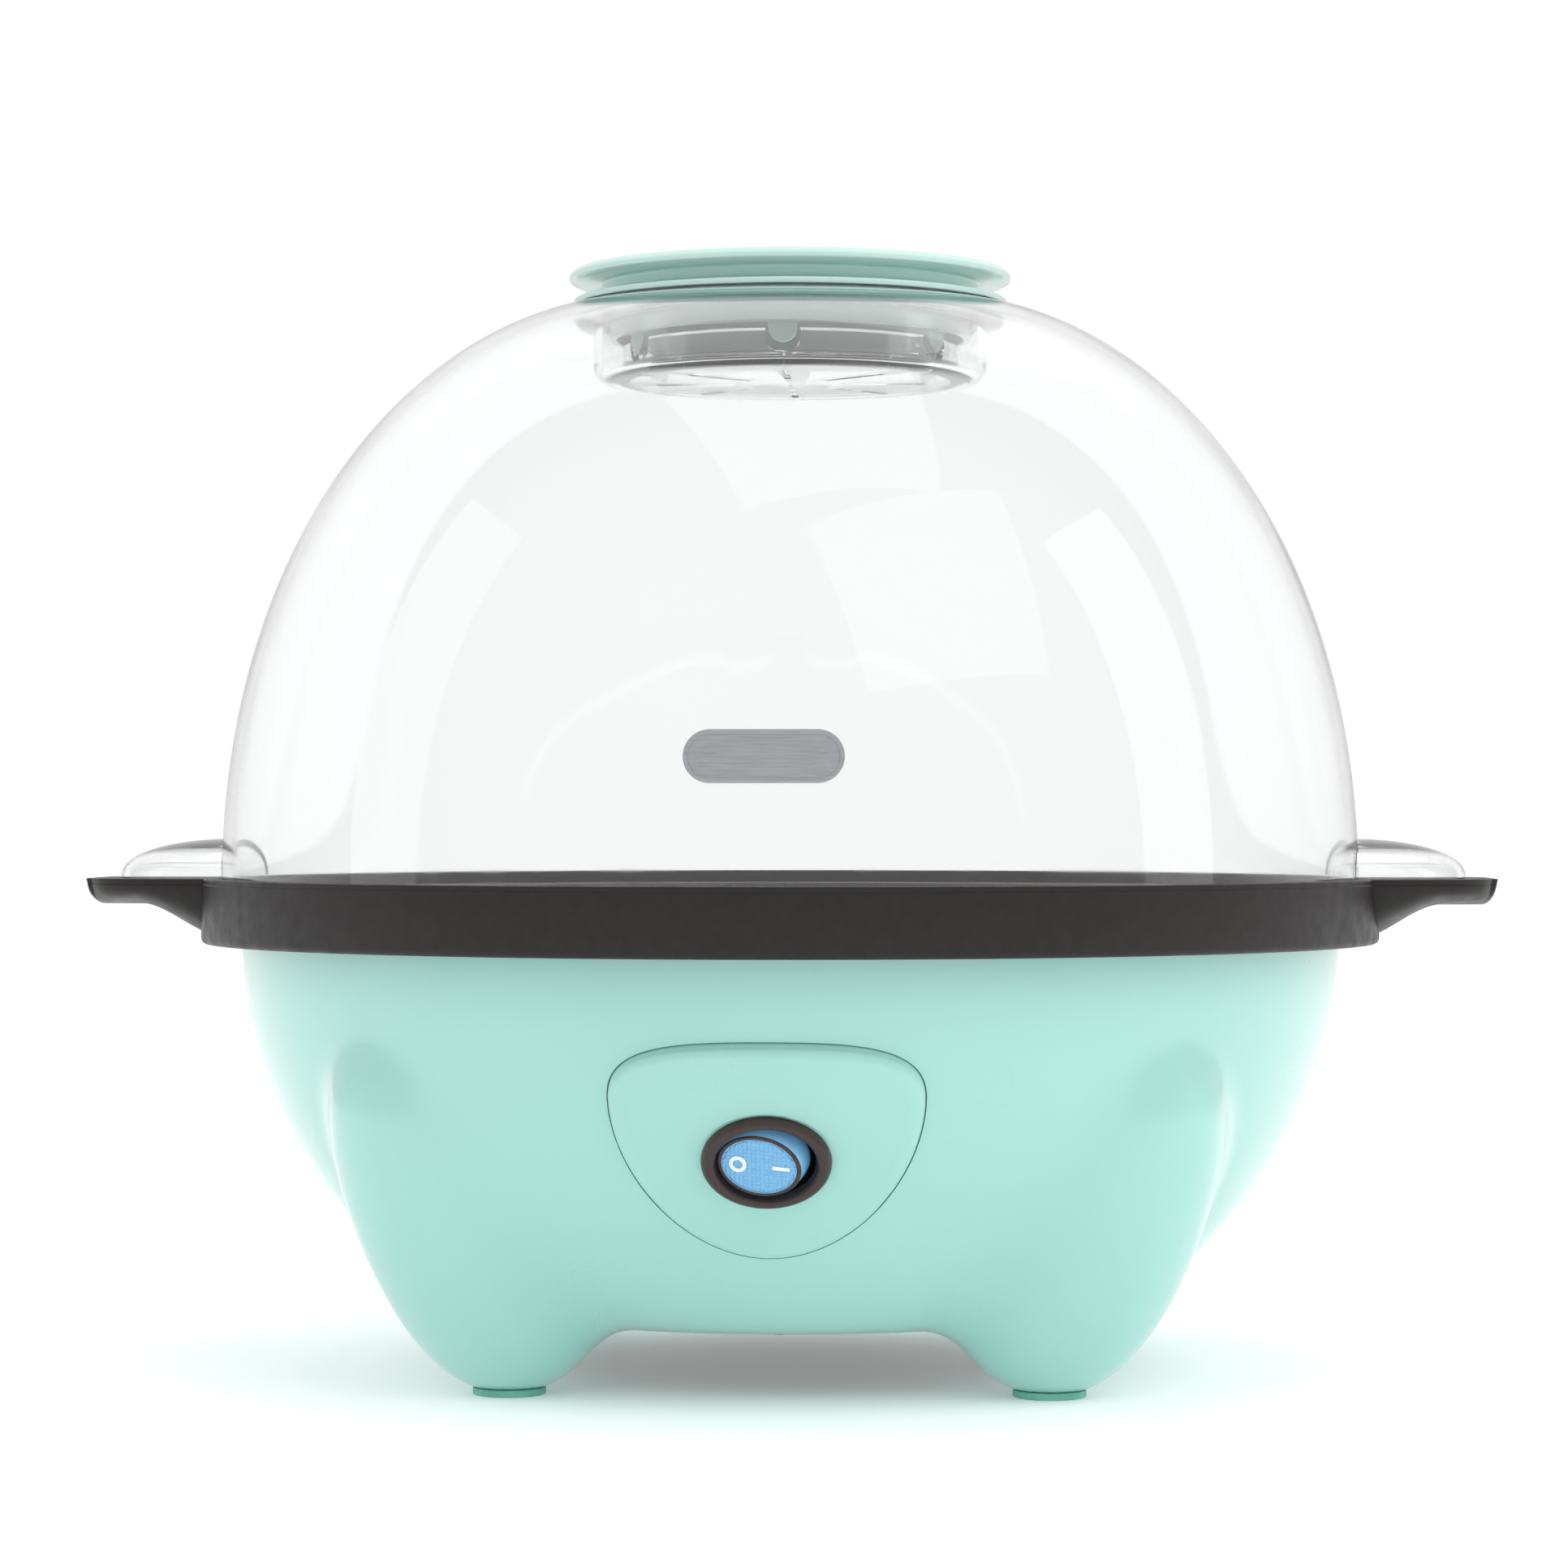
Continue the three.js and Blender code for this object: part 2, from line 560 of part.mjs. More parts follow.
function heatingPlate() {
  const flangeZ = ledgeZ + GAP;
  const hole = BUSH_RADIUS + GAP;
  const inside = dishWall(0, 0, 5);
  const outside = dishWall(DISH_WALL, DISH_FLOOR, 5).reverse();
  const dish = turned([
    [hole, dishFloorZ], ...inside, [inside.at(-1)[0] + 0.8, flangeZ + DISH_FLANGE],
    [dishRadius, flangeZ + DISH_FLANGE], [dishRadius, flangeZ], [outside[0][0], flangeZ], ...outside,
    [hole, dishUnder],
  ]);
  const bosses = bossAngles.map((angle) => cut(
    rod(BOSS_RADIUS, bossFoot, dishUnder + 1, 10),
    rod(SCREW_RADIUS + GAP, 0, bossFoot + 12, 8),
  ).translate(...atPolar(bossCircle, angle), 0));
  return join(dish, ...bosses);
}

// A tubular heater bent into an open ring, its two cold ends turned down through the shield.
function heatingElement() {
  const open = THREE.MathUtils.degToRad(HEATER_GAP_DEG);
  const first = -Math.PI / 2 + open;
  const sweep = 2 * Math.PI - 2 * open;
  const around = 26;
  const points = [];
  for (let i = 0; i <= around; i++) {
    const angle = first + (sweep * i) / around;
    points.push([...atPolar(heaterRadius, angle), heaterZ]);
  }
  const end = (point, side) => [
    [point[0] - 3 * side, point[1] - 0.5, heaterZ - 1.5],
    [point[0] - 5 * side, point[1] - 0.7, heaterZ - 6],
    [point[0] - 5 * side, point[1] - 0.7, shieldZ - 6],
  ];
  const right = end(points[0], 1).reverse();
  const left = end(points.at(-1), -1);
  return wire([...right, ...points, ...left], HEATER_TUBE, 52, 6);
}
const coldEnd = (side) => {
  const angle = -Math.PI / 2 + side * THREE.MathUtils.degToRad(HEATER_GAP_DEG);
  const [x, y] = atPolar(heaterRadius, angle);
  return [x - 5 * side, y - 0.7];
};

function heatShield() {
  const sheet = turned([
    [SHAFT_RADIUS + 5, shieldZ], [shieldRadius + SHIELD_SHEET, shieldZ],
    [shieldRadius + SHIELD_SHEET, shieldZ + SHIELD_RIM], [shieldRadius, shieldZ + SHIELD_RIM],
    [shieldRadius, shieldZ + SHIELD_SHEET], [SHAFT_RADIUS + 5, shieldZ + SHIELD_SHEET],
  ], 32);
  const through = (radius, x, y) => rod(radius, shieldZ - 5, shieldZ + 5, 10).translate(x, y, 0);
  return cut(
    sheet,
    ...bossAngles.map((angle) => through(SCREW_HOLE, ...atPolar(bossCircle, angle))),
    ...[1, -1].map((side) => through(HEATER_TUBE + 1.5, ...coldEnd(side))),
    ...[1, -1].map((side) => through(SCREW_HOLE, side * rivetX, 0)),
  );
}

// A bimetal disc thermostat under the dish, with two flat tags.
function thermostat() {
  const top = dishUnder - GAP;
  const foot = top - THERMOSTAT_HEIGHT;
  const wide = THERMOSTAT_RADIUS;
  const can = turned([
    [0, top], [wide - 1.4, top], [wide - 1.4, top - 2], [wide, top - 2], [wide, top - 5.5],
    [wide - 2.5, top - 5.5], [wide - 2.5, foot], [0, foot],
  ], 14);
  const tags = [-3.6, 3.6].map((y) =>
    box([-halfTab, halfTab], [y - halfSheet, y + halfSheet], [foot - 5.5, foot + 0.5]));
  return join(can, ...tags).translate(THERMOSTAT_OUT, 0, 0);
}

// A one-shot thermal fuse in its sleeve, lying against the dish.
function thermalFuse() {
  const half = FUSE_LENGTH / 2;
  const pin = 0.6;
  const body = turned([
    [0, -half - 3], [pin, -half - 3], [pin, -half], [FUSE_RADIUS, pin - half], [FUSE_RADIUS, half - pin],
    [pin, half], [pin, half + 3], [0, half + 3],
  ], 8);
  return body.rotateX(Math.PI / 2).translate(-THERMOSTAT_OUT, 0, dishUnder - GAP - FUSE_RADIUS);
}

// ---------------------------------------------------------------- motor
// A spur gear's outline, each flank on an involute of its base circle, with a little backlash. A large
// wheel's flanks are close to straight.
function gearShape(teeth) {
  const pitch = (GEAR_MODULE * teeth) / 2;
  const base = pitch * Math.cos(THREE.MathUtils.degToRad(20));
  const involute = (radius) => {
    const ratio = Math.max(1, radius / base);
    return Math.sqrt(ratio * ratio - 1) - Math.acos(1 / ratio);
  };
  const halfAtPitch = Math.PI / (2 * teeth) - BACKLASH / (2 * pitch);
  const [root, tip] = [pitch - 1.2 * GEAR_MODULE, pitch + 0.9 * GEAR_MODULE];
  const radii = teeth > 20 ? [root, tip] : [root, pitch, tip];
  const shape = new THREE.Shape();
  for (let tooth = 0; tooth < teeth; tooth++) {
    const middle = (2 * Math.PI * tooth) / teeth;
    const flank = radii.map((radius) => [radius, halfAtPitch + involute(pitch) - involute(radius)]);
    const points = [
      ...flank.map(([radius, half]) => atPolar(radius, middle - half)),
      ...flank.reverse().map(([radius, half]) => atPolar(radius, middle + half)),
    ];
    points.forEach(([x, y], i) => (tooth || i ? shape.lineTo(x, y) : shape.moveTo(x, y)));
  }
  shape.closePath();
  return shape;
}

function motorCan() {
  return turned([
    [PIN_RADIUS + GAP, motorZ], [canRadius - 1.5, motorZ], [canRadius, motorZ + 1.5],
    [canRadius, gearCoverZ - GAP], [canRadius - CAN_WALL, gearCoverZ - GAP],
    [canRadius - CAN_WALL, motorZ + CAN_WALL], [PIN_RADIUS + GAP, motorZ + CAN_WALL],
  ], 32);
}

// The coil on its bobbin: two cheeks with the winding between them.
function motorCoil() {
  const inner = ROTOR_RADIUS + 1.5;
  const outer = canRadius - CAN_WALL - GAP - 0.4;
  return turned([
    [inner, coilZ], [outer, coilZ], [outer, coilZ + 1.2], [outer - 1.5, coilZ + 1.6],
    [outer - 1.5, coilZ + COIL_HEIGHT - 1.6], [outer, coilZ + COIL_HEIGHT - 1.2],
    [outer, coilZ + COIL_HEIGHT], [inner, coilZ + COIL_HEIGHT],
  ], 32);
}

function gearPlate() {
  const disc = sleeve(GEAR_MODULE * (PINION_TEETH / 2 + 1) + 1.2, canRadius - CAN_WALL - 2 * GAP,
    gearPlateZ, gearPlateZ + GEAR_PLATE, 32);
  return cut(disc, rod(PIN_RADIUS + GAP, 0, 99, 8).translate(centreDistance, 0, 0));
}

// The gearbox cover, with the output's long bearing and two screw ears.
function gearboxCover() {
  const disc = turned([
    [SHAFT_RADIUS + RUNNING, gearCoverZ], [canRadius, gearCoverZ], [canRadius, gearCoverTop],
    [SHAFT_RADIUS + 3.3, gearCoverTop], [SHAFT_RADIUS + 3.3, gearCoverTop + BEARING_HEIGHT],
    [SHAFT_RADIUS + RUNNING, gearCoverTop + BEARING_HEIGHT],
  ], 32);
  const ears = box([-earX - 4, earX + 4], [-5, 5], [gearCoverZ, gearCoverTop]);
  const holes = [1, -1].map((side) => rod(SCREW_HOLE, 0, 99, 8).translate(side * earX, 0, 0));
  const middle = rod(canRadius - 2, 0, 99, 32);
  const pinSocket = rod(PIN_RADIUS + GAP, 0, gearCoverZ + 1, 8).translate(centreDistance, 0, 0);
  return cut(join(disc, cut(ears, middle)), ...holes, pinSocket);
}

// The pin that the rotor spins on stands in the can's floor and steadies the output's lower end.
const rotorPin = () => rod(PIN_RADIUS, motorZ + 0.2, secondGearZ + 1.2, 12);

function rotor() {
  const magnet = rod(ROTOR_RADIUS, coilZ + 0.5, gearPlateZ - 0.6, 24);
  const neck = rod(3, gearPlateZ - 1, firstGearZ + 1, 12);
  const pinion = prism(gearShape(PINION_TEETH), firstGearZ, firstGearZ + GEAR_FACE);
  return cut(join(magnet, neck, pinion), rod(PIN_RADIUS + RUNNING, 0, 99, 16));
}

// The layshaft's wheel meets the rotor's pinion, half a tooth round, and its pinion meets the output.
const layPhase = Math.PI / WHEEL_TEETH;

function layGear() {
  const wheel = spun(prism(gearShape(WHEEL_TEETH), firstGearZ, firstGearZ + GEAR_FACE), layPhase);
  const pinion = prism(gearShape(PINION_TEETH), firstGearZ + GEAR_FACE - 0.5, gearTop);
  return cut(join(wheel, pinion), rod(PIN_RADIUS + RUNNING, 0, 99, 16)).translate(centreDistance, 0, 0);
}

const layPin = () => rod(PIN_RADIUS, gearPlateZ + 0.1, gearCoverZ + 0.8, 12).translate(centreDistance, 0, 0);

function outputGear() {
  const wheel = spun(prism(gearShape(WHEEL_TEETH), secondGearZ, gearTop), layPhase);
  const shaft = rod(SHAFT_RADIUS, secondGearZ, shaftTop, 20);
  const shoulder = rod(SHAFT_RADIUS + 2, secondGearZ, gearTop + 0.6, 16);
  const socket = rod(PIN_RADIUS + RUNNING, 0, secondGearZ + 1.6, 16);
  const flat = box([SHAFT_RADIUS - 0.8, 9], [-9, 9], [hubZ + 0.5, shaftTop + 1]);
  return cut(join(wheel, shaft, shoulder), socket, flat);
}

// A pressed strap that hangs the motor under the shield.
function motorBracket() {
  const [low, high] = [bracketZ, shieldZ - GAP];
  const inner = rivetX - 7;
  const outer = rivetX + 6;
  const t = BRACKET_SHEET;
  const profile = new THREE.Shape([
    [-outer, high - t], [-inner, high - t], [-inner, low], [inner, low], [inner, high - t],
    [outer, high - t], [outer, high], [inner - t, high], [inner - t, low + t], [t - inner, low + t],
    [t - inner, high], [-outer, high],
  ].map(([x, y]) => new THREE.Vector2(x, y)));
  const strap = prism(profile, -BRACKET_WIDTH / 2, BRACKET_WIDTH / 2).rotateX(Math.PI / 2);
  const drill = (radius, x) => rod(radius, low - 1, high + 1, 10).translate(x, 0, 0);
  return cut(
    strap, rod(SHAFT_RADIUS + 3.8, low - 1, low + t + 1, 16),
    drill(SCREW_HOLE, earX), drill(SCREW_HOLE, -earX), drill(SCREW_HOLE, rivetX), drill(SCREW_HOLE, -rivetX),
  );
}

function bracketRivet() {
  const low = shieldZ - GAP - BRACKET_SHEET - GAP;
  const high = shieldZ + SHIELD_SHEET + GAP;
  return turned([
    [0, low - 1.4], [1.8, low - 1.4], [RIVET_HEAD, low], [SCREW_RADIUS, low], [SCREW_RADIUS, high],
    [RIVET_HEAD, high], [1.8, high + 1.4], [0, high + 1.4],
  ], 8);
}

// ---------------------------------------------------------------- stirrer
function shaftBush() {
  const bore = SHAFT_RADIUS + RUNNING + 0.01;
  return turned([
    [bore, dishUnder - 3], [BUSH_RADIUS, dishUnder - 3], [BUSH_RADIUS, dishFloorZ + GAP],
    [HUB_RADIUS, dishFloorZ + GAP], [HUB_RADIUS - 0.5, dishFloorZ + 1.6], [bore, dishFloorZ + 1.6],
  ], 20);
}

function stirHub() {
  const top = hubZ + HUB_HEIGHT - 1;
  const hub = turned([
    [SHAFT_RADIUS + GAP, hubZ], [HUB_RADIUS, hubZ], [HUB_RADIUS, hubZ + 8.5],
    [HUB_RADIUS - 2.5, top], [SHAFT_RADIUS + GAP, top],
  ], 20);
  const tunnel = rod(WIRE_RADIUS + GAP, -HUB_RADIUS - 2, HUB_RADIUS + 2, 10)
    .rotateY(Math.PI / 2).translate(0, SHAFT_RADIUS + WIRE_RADIUS + GAP, wireZ);
  return cut(hub, tunnel);
}

// One bent wire runs through the hub beside the shaft. Each arm dips to the dish's floor, then
// climbs its wall.
function stirWire() {
  const side = SHAFT_RADIUS + WIRE_RADIUS + GAP;
  const low = dishFloorZ + WIRE_CLEARANCE + WIRE_RADIUS;
  const reach = dishFlat + 26;
  const arm = [
    [HUB_RADIUS + 1, side, wireZ], [HUB_RADIUS + 8, side, wireZ - 0.3], [HUB_RADIUS + 17, side + 1, low],
    [dishFlat * 0.6, side + 4, low], [dishFlat - 6, side + 10, low + 0.5],
    [dishFlat + 12, side + 16, low + 5], [reach - 4, side + 19, low + 12],
  ];
  const other = arm.map(([x, y, z]) => [-x, 2 * side - y, z]).reverse();
  return wire([...other, [0, side, wireZ], ...arm], WIRE_RADIUS, 40, 6);
}

function stirNut() {
  const low = hubZ + HUB_HEIGHT - 1 + GAP;
  const high = low + NUT_HEIGHT;
  const nut = turned([
    [0, high], [NUT_RADIUS - 3.5, high], [NUT_RADIUS - 1, high - 1.6], [NUT_RADIUS, low + 1.5],
    [NUT_RADIUS, low], [0, low],
  ], 12);
  return cut(nut, rod(SHAFT_RADIUS + GAP, low - 1, shaftTop + GAP, 16));
}

// ---------------------------------------------------------------- dome
const domePoint = (radius, height) => new THREE.Vector2(radius, domeFoot + height * DOME_HEIGHT);
const domeSide = new THREE.CubicBezierCurve(
  domePoint(domeRadius, 0), domePoint(domeRadius, 0.5975),
  domePoint(domeRadius * 0.672, 0.948), domePoint(WELL_RIM, 1),
);
const collarOuter = WELL_COLLAR + 1;
const collarInner = WELL_COLLAR - 1;
const collarTop = wellFloor + WELL_WALL + WELL_COLLAR_HEIGHT;

function domeBody() {
  const outer = offsetCurve(domeSide, 9, 0);
  const inner = offsetCurve(domeSide, 8, -DOME_WALL).slice(0, -1).reverse();
  inner[inner.length - 1] = [domeRadius - DOME_WALL, domeFoot];
  const underRim = domeTop - DOME_WALL;
  return turned([
    ...outer, [WELL_RADIUS - WELL_WALL, domeTop], [WELL_RADIUS - WELL_WALL, wellFloor + WELL_WALL],
    [collarOuter, wellFloor + WELL_WALL], [collarOuter, collarTop], [collarInner, collarTop],
    [collarInner, wellFloor + WELL_WALL], [0, wellFloor + WELL_WALL], [0, wellFloor],
    [WELL_RADIUS - 2, wellFloor], [WELL_RADIUS, wellFloor + 2], [WELL_RADIUS, underRim], ...inner,
  ]);
}

// A hollow quarter-dome over each handle, open underneath.
function wing() {
  const egg = (inwards) => new THREE.SphereGeometry(1, 14, 8)
    .scale(WING_LENGTH - inwards, WING_WIDTH / 2 - inwards, WING_HEIGHT - inwards)
    .translate(domeRadius - 1, 0, RING_TOP + GAP);
  const wide = [-2 * RING_RADIUS, 2 * RING_RADIUS];
  return cut(egg(0), egg(DOME_WALL * 0.8), box(wide, wide, [0, RING_TOP + GAP]),
    rod(domeRadius - DOME_WALL / 2, 0, 2 * RING_TOP));
}

function domeCover() {
  const slots = Array.from({ length: WELL_SLOTS }, (_, i) => spun(
    box(WELL_SLOT_REACH, [-WELL_SLOT_WIDTH / 2, WELL_SLOT_WIDTH / 2], [wellFloor - 3, wellFloor + 5]),
    (2 * Math.PI * i) / WELL_SLOTS));
  const notches = tabAngles.map((angle) => spun(
    box([collarInner - 2, collarOuter + 2], [-TAB_WIDTH / 2 - 0.8, TAB_WIDTH / 2 + 0.8],
      [wellFloor + WELL_WALL + 1.5, collarTop + 1]), angle));
  return join(cut(domeBody(), ...slots, ...notches), wing(), spun(wing(), Math.PI));
}

// A plain plate with round ends, curved to the dome's front.
function badgePlate() {
  const grown = (grow) => {
    const outer = offsetCurve(domeSide, 10, grow);
    return turned([...outer, [0, domeTop], [0, domeFoot]]);
  };
  const half = BADGE_WIDTH / 2 - BADGE_HEIGHT / 2;
  const outline = new THREE.Shape();
  outline.absarc(half, 0, BADGE_HEIGHT / 2, -Math.PI / 2, Math.PI / 2);
  outline.absarc(-half, 0, BADGE_HEIGHT / 2, Math.PI / 2, (3 * Math.PI) / 2);
  const column = prism(outline, 0, 2 * domeRadius, BADGE_CORNER_STEPS)
    .rotateX(Math.PI / 2).translate(0, 0, RING_TOP + BADGE_RISE);
  return meet(cut(grown(GAP + BADGE_THICK), grown(GAP)), column);
}

// ---------------------------------------------------------------- cap
// A spool-shaped cap: foot flange, waist, brim on the dome's rim, and a skirt with tabs in the well.
function lidCap() {
  const top = domeTop + CAP_TOP;
  const flange = WELL_RIM + CAP_FLANGE_OUT;
  const waist = WELL_RIM - CAP_WAIST_IN;
  const brimZ = domeTop + GAP;
  const skirt = WELL_COLLAR + 4.5;
  const low = domeTop - CAP_SKIRT;
  const body = turned([
    [0, top - capDish], [waist - 5, top - capDish], [waist - 3.5, top - 0.6], [flange - 1.2, top], [flange, top - 1],
    [flange - 0.3, top - CAP_FLANGE + 0.5], [flange - 1.5, top - CAP_FLANGE], [waist, top - CAP_FLANGE],
    [waist, brimZ + CAP_BRIM], [WELL_RIM + 0.6, brimZ + CAP_BRIM - 0.8], [WELL_RIM + 0.6, brimZ],
    [skirt, brimZ], [skirt, low], [skirt - CAP_WALL, low], [skirt - CAP_WALL, brimZ + CAP_BRIM],
    [0, brimZ + CAP_BRIM],
  ]);
  const tabs = tabAngles.map((angle) => spun(
    join(
      box([WELL_COLLAR - 1, WELL_COLLAR + 1], [-TAB_WIDTH / 2, TAB_WIDTH / 2], [low - TAB_LENGTH, low + 1]),
      box([WELL_COLLAR - 1, skirt - 0.4], [-TAB_WIDTH / 2, TAB_WIDTH / 2], [low, low + 2]),
    ), angle));
  return join(body, ...tabs);
}

// ---------------------------------------------------------------- switch
// A shield with a broad arched top, widest above the switch, that narrows to a round point.
function switchPanel() {
  const half = PANEL_WIDTH / 2;
  const widest = PANEL_UP * 0.47;
  const outline = new THREE.Shape();
  outline.moveTo(0, PANEL_UP);
  outline.bezierCurveTo(-half * 0.6, PANEL_UP, -half, PANEL_UP * 0.88, -half, widest);
  outline.bezierCurveTo(-half, -PANEL_DOWN * 0.2, -half * 0.53, -PANEL_DOWN, 0, -PANEL_DOWN);
  outline.bezierCurveTo(half * 0.53, -PANEL_DOWN, half, -PANEL_DOWN * 0.2, half, widest);
  outline.bezierCurveTo(half, PANEL_UP * 0.88, half * 0.6, PANEL_UP, 0, PANEL_UP);
  const column = onSwitch(prism(outline, -25, 25, 7));
  const skin = baseBlank(0).translate(0, -PANEL_OUT, PANEL_LIFT);
  return cut(
    meet(column, cut(skin, baseBlank(GAP))),
    onSwitch(oval(tubeHalf + 0.4, -30, 9)),
    onSwitch(oval(SWITCH_HALF + 0.7, seatDrop, 9)),
  );
}

// Bezel and body in one moulding: an oval flange over an oval tube with a closed back.
function switchBezel() {
  const open = SWITCH_HALF - BEZEL_RIM;
  const seat = seatDrop + GAP;
  const body = turned([
    [0, -SWITCH_DEPTH], [tubeHalf, -SWITCH_DEPTH], [tubeHalf, seat], [SWITCH_HALF - 0.3, seat],
    [SWITCH_HALF, seat + 0.8], [SWITCH_HALF - 1.4, BEZEL_HEIGHT - 0.4], [open + 0.8, BEZEL_HEIGHT],
    [open, BEZEL_HEIGHT - 0.8], [open, 1.5 - SWITCH_DEPTH], [0, 1.5 - SWITCH_DEPTH],
  ], 24).scale(1, SWITCH_OVAL, 1);
  const slots = terminalX.map((x) => box(
    [x - halfSheet - GAP, x + halfSheet + GAP], [-halfTab - GAP, halfTab + GAP],
    [-SWITCH_DEPTH - 1, 3 - SWITCH_DEPTH],
  ));
  return cut(body, ...slots);
}

const terminal = (x) => box(
  [x - halfSheet, x + halfSheet], [-halfTab, halfTab], [-SWITCH_DEPTH - TERMINAL_REACH, 2.8 - SWITCH_DEPTH],
);

// The rocker in its own frame, with its pivot at the origin and its face level.
function switchRocker() {
  const open = SWITCH_HALF - BEZEL_RIM;
  const rings = [[open - 5, -4.5], [open - 1.1, 1.5], [open - 1.1, 3], [open - 1.9, ROCKER_RISE]];
  return loft(rings.map(([half, z]) => {
    const ring = [];
    for (let i = 0; i < 20; i++) {
      const angle = (2 * Math.PI * i) / 20;
      ring.push([half * Math.cos(angle), half * SWITCH_OVAL * Math.sin(angle), z]);
    }
    return ring;
  }));
}

// ---------------------------------------------------------------- mains inlet and wiring
function cordGland() {
  const boot = glandFace + GAP;
  return turned([
    [GLAND_BORE, -14], [GLAND_BODY, -14], [GLAND_BODY, boot - glandFace], [GLAND_FLANGE, boot - glandFace],
    [GLAND_FLANGE, 2.6], [GLAND_BODY + 0.8, 3.4], [GLAND_BORE + 1.8, 13], [GLAND_BORE, 13],
  ], 20).rotateX(-Math.PI / 2).translate(0, glandFace, GLAND_Z);
}

function terminalBlock() {
  const half = [BLOCK_LENGTH / 2, BLOCK_WIDTH / 2];
  const block = box(
    [-half[0], half[0]], [blockY - half[1], blockY + half[1]], [blockFoot, blockFoot + BLOCK_HEIGHT],
  );
  const cells = cellX.map((x) =>
    box([x - 2.6, x + 2.6], [blockY - 9, blockY + 9], [blockFoot + 3, blockFoot + 6.5]));
  return cut(block, ...cells, rod(SCREW_HOLE, 0, 99, 8).translate(0, blockY, 0));
}

// A lead's ends are worked out from what they join. Its middle is a list of hand-chosen points.
const switchTag = (x, back) =>
  new THREE.Vector3(x, 0, -SWITCH_DEPTH - back).applyMatrix4(switchFrame.matrixWorld).toArray();

// The part of a lead that runs round the motor, between two directions seen from above.
const roundMotor = (from, to) => [0, 0.33, 0.67, 1].map((t) =>
  [...atPolar(leadRing, THREE.MathUtils.degToRad(from + (to - from) * t)), leadLow]);

function leads() {
  const [liveX, liveY] = coldEnd(-1);
  const [neutralX, neutralY] = coldEnd(1);
  return {
    lead_live: wire([
      [cellX[1], leadStart, blockZ], ...roundMotor(60, -50), [34, neutralY, leadHigh - 20],
      [20, -wallAt(leadHigh).radius + 28, leadHigh], switchTag(terminalX[1], tagEnd + 4.6),
      switchTag(terminalX[1], tagEnd),
    ], LEAD_RADIUS, 20, 5),
    lead_neutral: wire([
      [cellX[0], leadStart, blockZ], ...roundMotor(120, 252), [4, neutralY + 22, leadHigh - 20],
      [neutralX, neutralY, leadHigh - 5], [neutralX, neutralY, leadHigh],
    ], LEAD_RADIUS, 20, 5),
    lead_heater: wire([
      switchTag(terminalX[0], tagEnd), switchTag(terminalX[0], tagEnd + 4.6),
      [-10, liveY - 14, leadHigh - 6],
      [liveX, liveY, leadHigh - 5], [liveX, liveY, leadHigh],
    ], LEAD_RADIUS, 14, 5),
    lead_motor: wire([
      [neutralX + 5, neutralY + 2, leadHigh - 3], [25, neutralY + 18, leadHigh - 14],
      [20, -canRadius - 10, leadLow + 8], [13, -canRadius - 2, coilZ + COIL_HEIGHT / 2],
    ], LEAD_RADIUS, 12, 5),
  };
}

// ---------------------------------------------------------------- assembly
piece("base_housing", baseHousing(), mint());
piece("bottom_cover", bottomCover(), charcoal());
legs.forEach((angle, i) => {
  piece("foot_pad_" + (i + 1), footPad(), paint(0x2b2b2b, 0.85))
    .position.set(...atPolar(footCircle, angle), 0);
});
coverScrewAngles.forEach((angle, i) => {
  piece("cover_screw_" + (i + 1), screw(9), steel())
    .position.set(...atPolar(coverScrewCircle, angle), BASE_CLEARANCE - GAP);
});
piece("rim_ring", rimRing(), charcoal());
lugAngles.forEach((angle, i) => {
  piece("ring_screw_" + (i + 1), screw(7.2), steel())
    .position.set(...atPolar(lugCircle, angle), lugTop - LUG_THICK - GAP);
});
piece("heating_plate", heatingPlate(), paint(0x2a2a2c, 0.4, 0.3));
piece("heating_element", heatingElement(), paint(0x6d6a66, 0.5, 0.8));
piece("heat_shield", heatShield(), steel());
bossAngles.forEach((angle, i) => {
  piece("plate_screw_" + (i + 1), screw(10), steel())
    .position.set(...atPolar(bossCircle, angle), shieldZ - GAP);
});
piece("thermostat", thermostat(), paint(0x4a3a2c, 0.5));
piece("thermal_fuse", thermalFuse(), steel());
piece("shaft_bush", shaftBush(), brass());
piece("motor_can", motorCan(), steel());
piece("motor_coil", motorCoil(), paint(0xb8642c, 0.4, 0.5));
piece("rotor_pin", rotorPin(), steel());
piece("rotor", rotor(), paint(0x55504c, 0.6, 0.2));
piece("gear_plate", gearPlate(), steel());
piece("lay_pin", layPin(), steel());
piece("lay_gear", layGear(), nylon());
piece("gearbox_cover", gearboxCover(), steel());
piece("output_gear", outputGear(), nylon());
piece("motor_bracket", motorBracket(), steel());
[1, -1].forEach((side, i) => {
  piece("motor_screw_" + (i + 1), screw(5), steel()).position.set(side * earX, 0, gearCoverZ - GAP);
  piece("bracket_rivet_" + (i + 1), bracketRivet(), steel()).position.set(side * rivetX, 0, 0);
});
piece("stir_hub", stirHub(), charcoal());
piece("stir_wire", stirWire(), steel());
piece("stir_nut", stirNut(), charcoal());
piece("dome_cover", domeCover(), clear());
piece("badge_plate", badgePlate(), paint(0x9a9b9d, 0.35, 0.7));
piece("lid_cap", lidCap(), mint());
piece("switch_panel", switchPanel(), mint());
popcornMaker.add(switchFrame);
piece("switch_bezel", switchBezel(), charcoal(), switchFrame);
const rocker = piece("switch_rocker", switchRocker(), paint(0x8cc8ee, 0.25), switchFrame);
rocker.position.z = ROCKER_PIVOT;
rocker.rotation.y = -THREE.MathUtils.degToRad(ROCKER_TILT_DEG);
terminalX.forEach((x, i) => {
  piece("switch_terminal_" + (i + 1), terminal(x), brass(), switchFrame);
});
piece("cord_gland", cordGland(), charcoal());
piece("terminal_block", terminalBlock(), nylon());
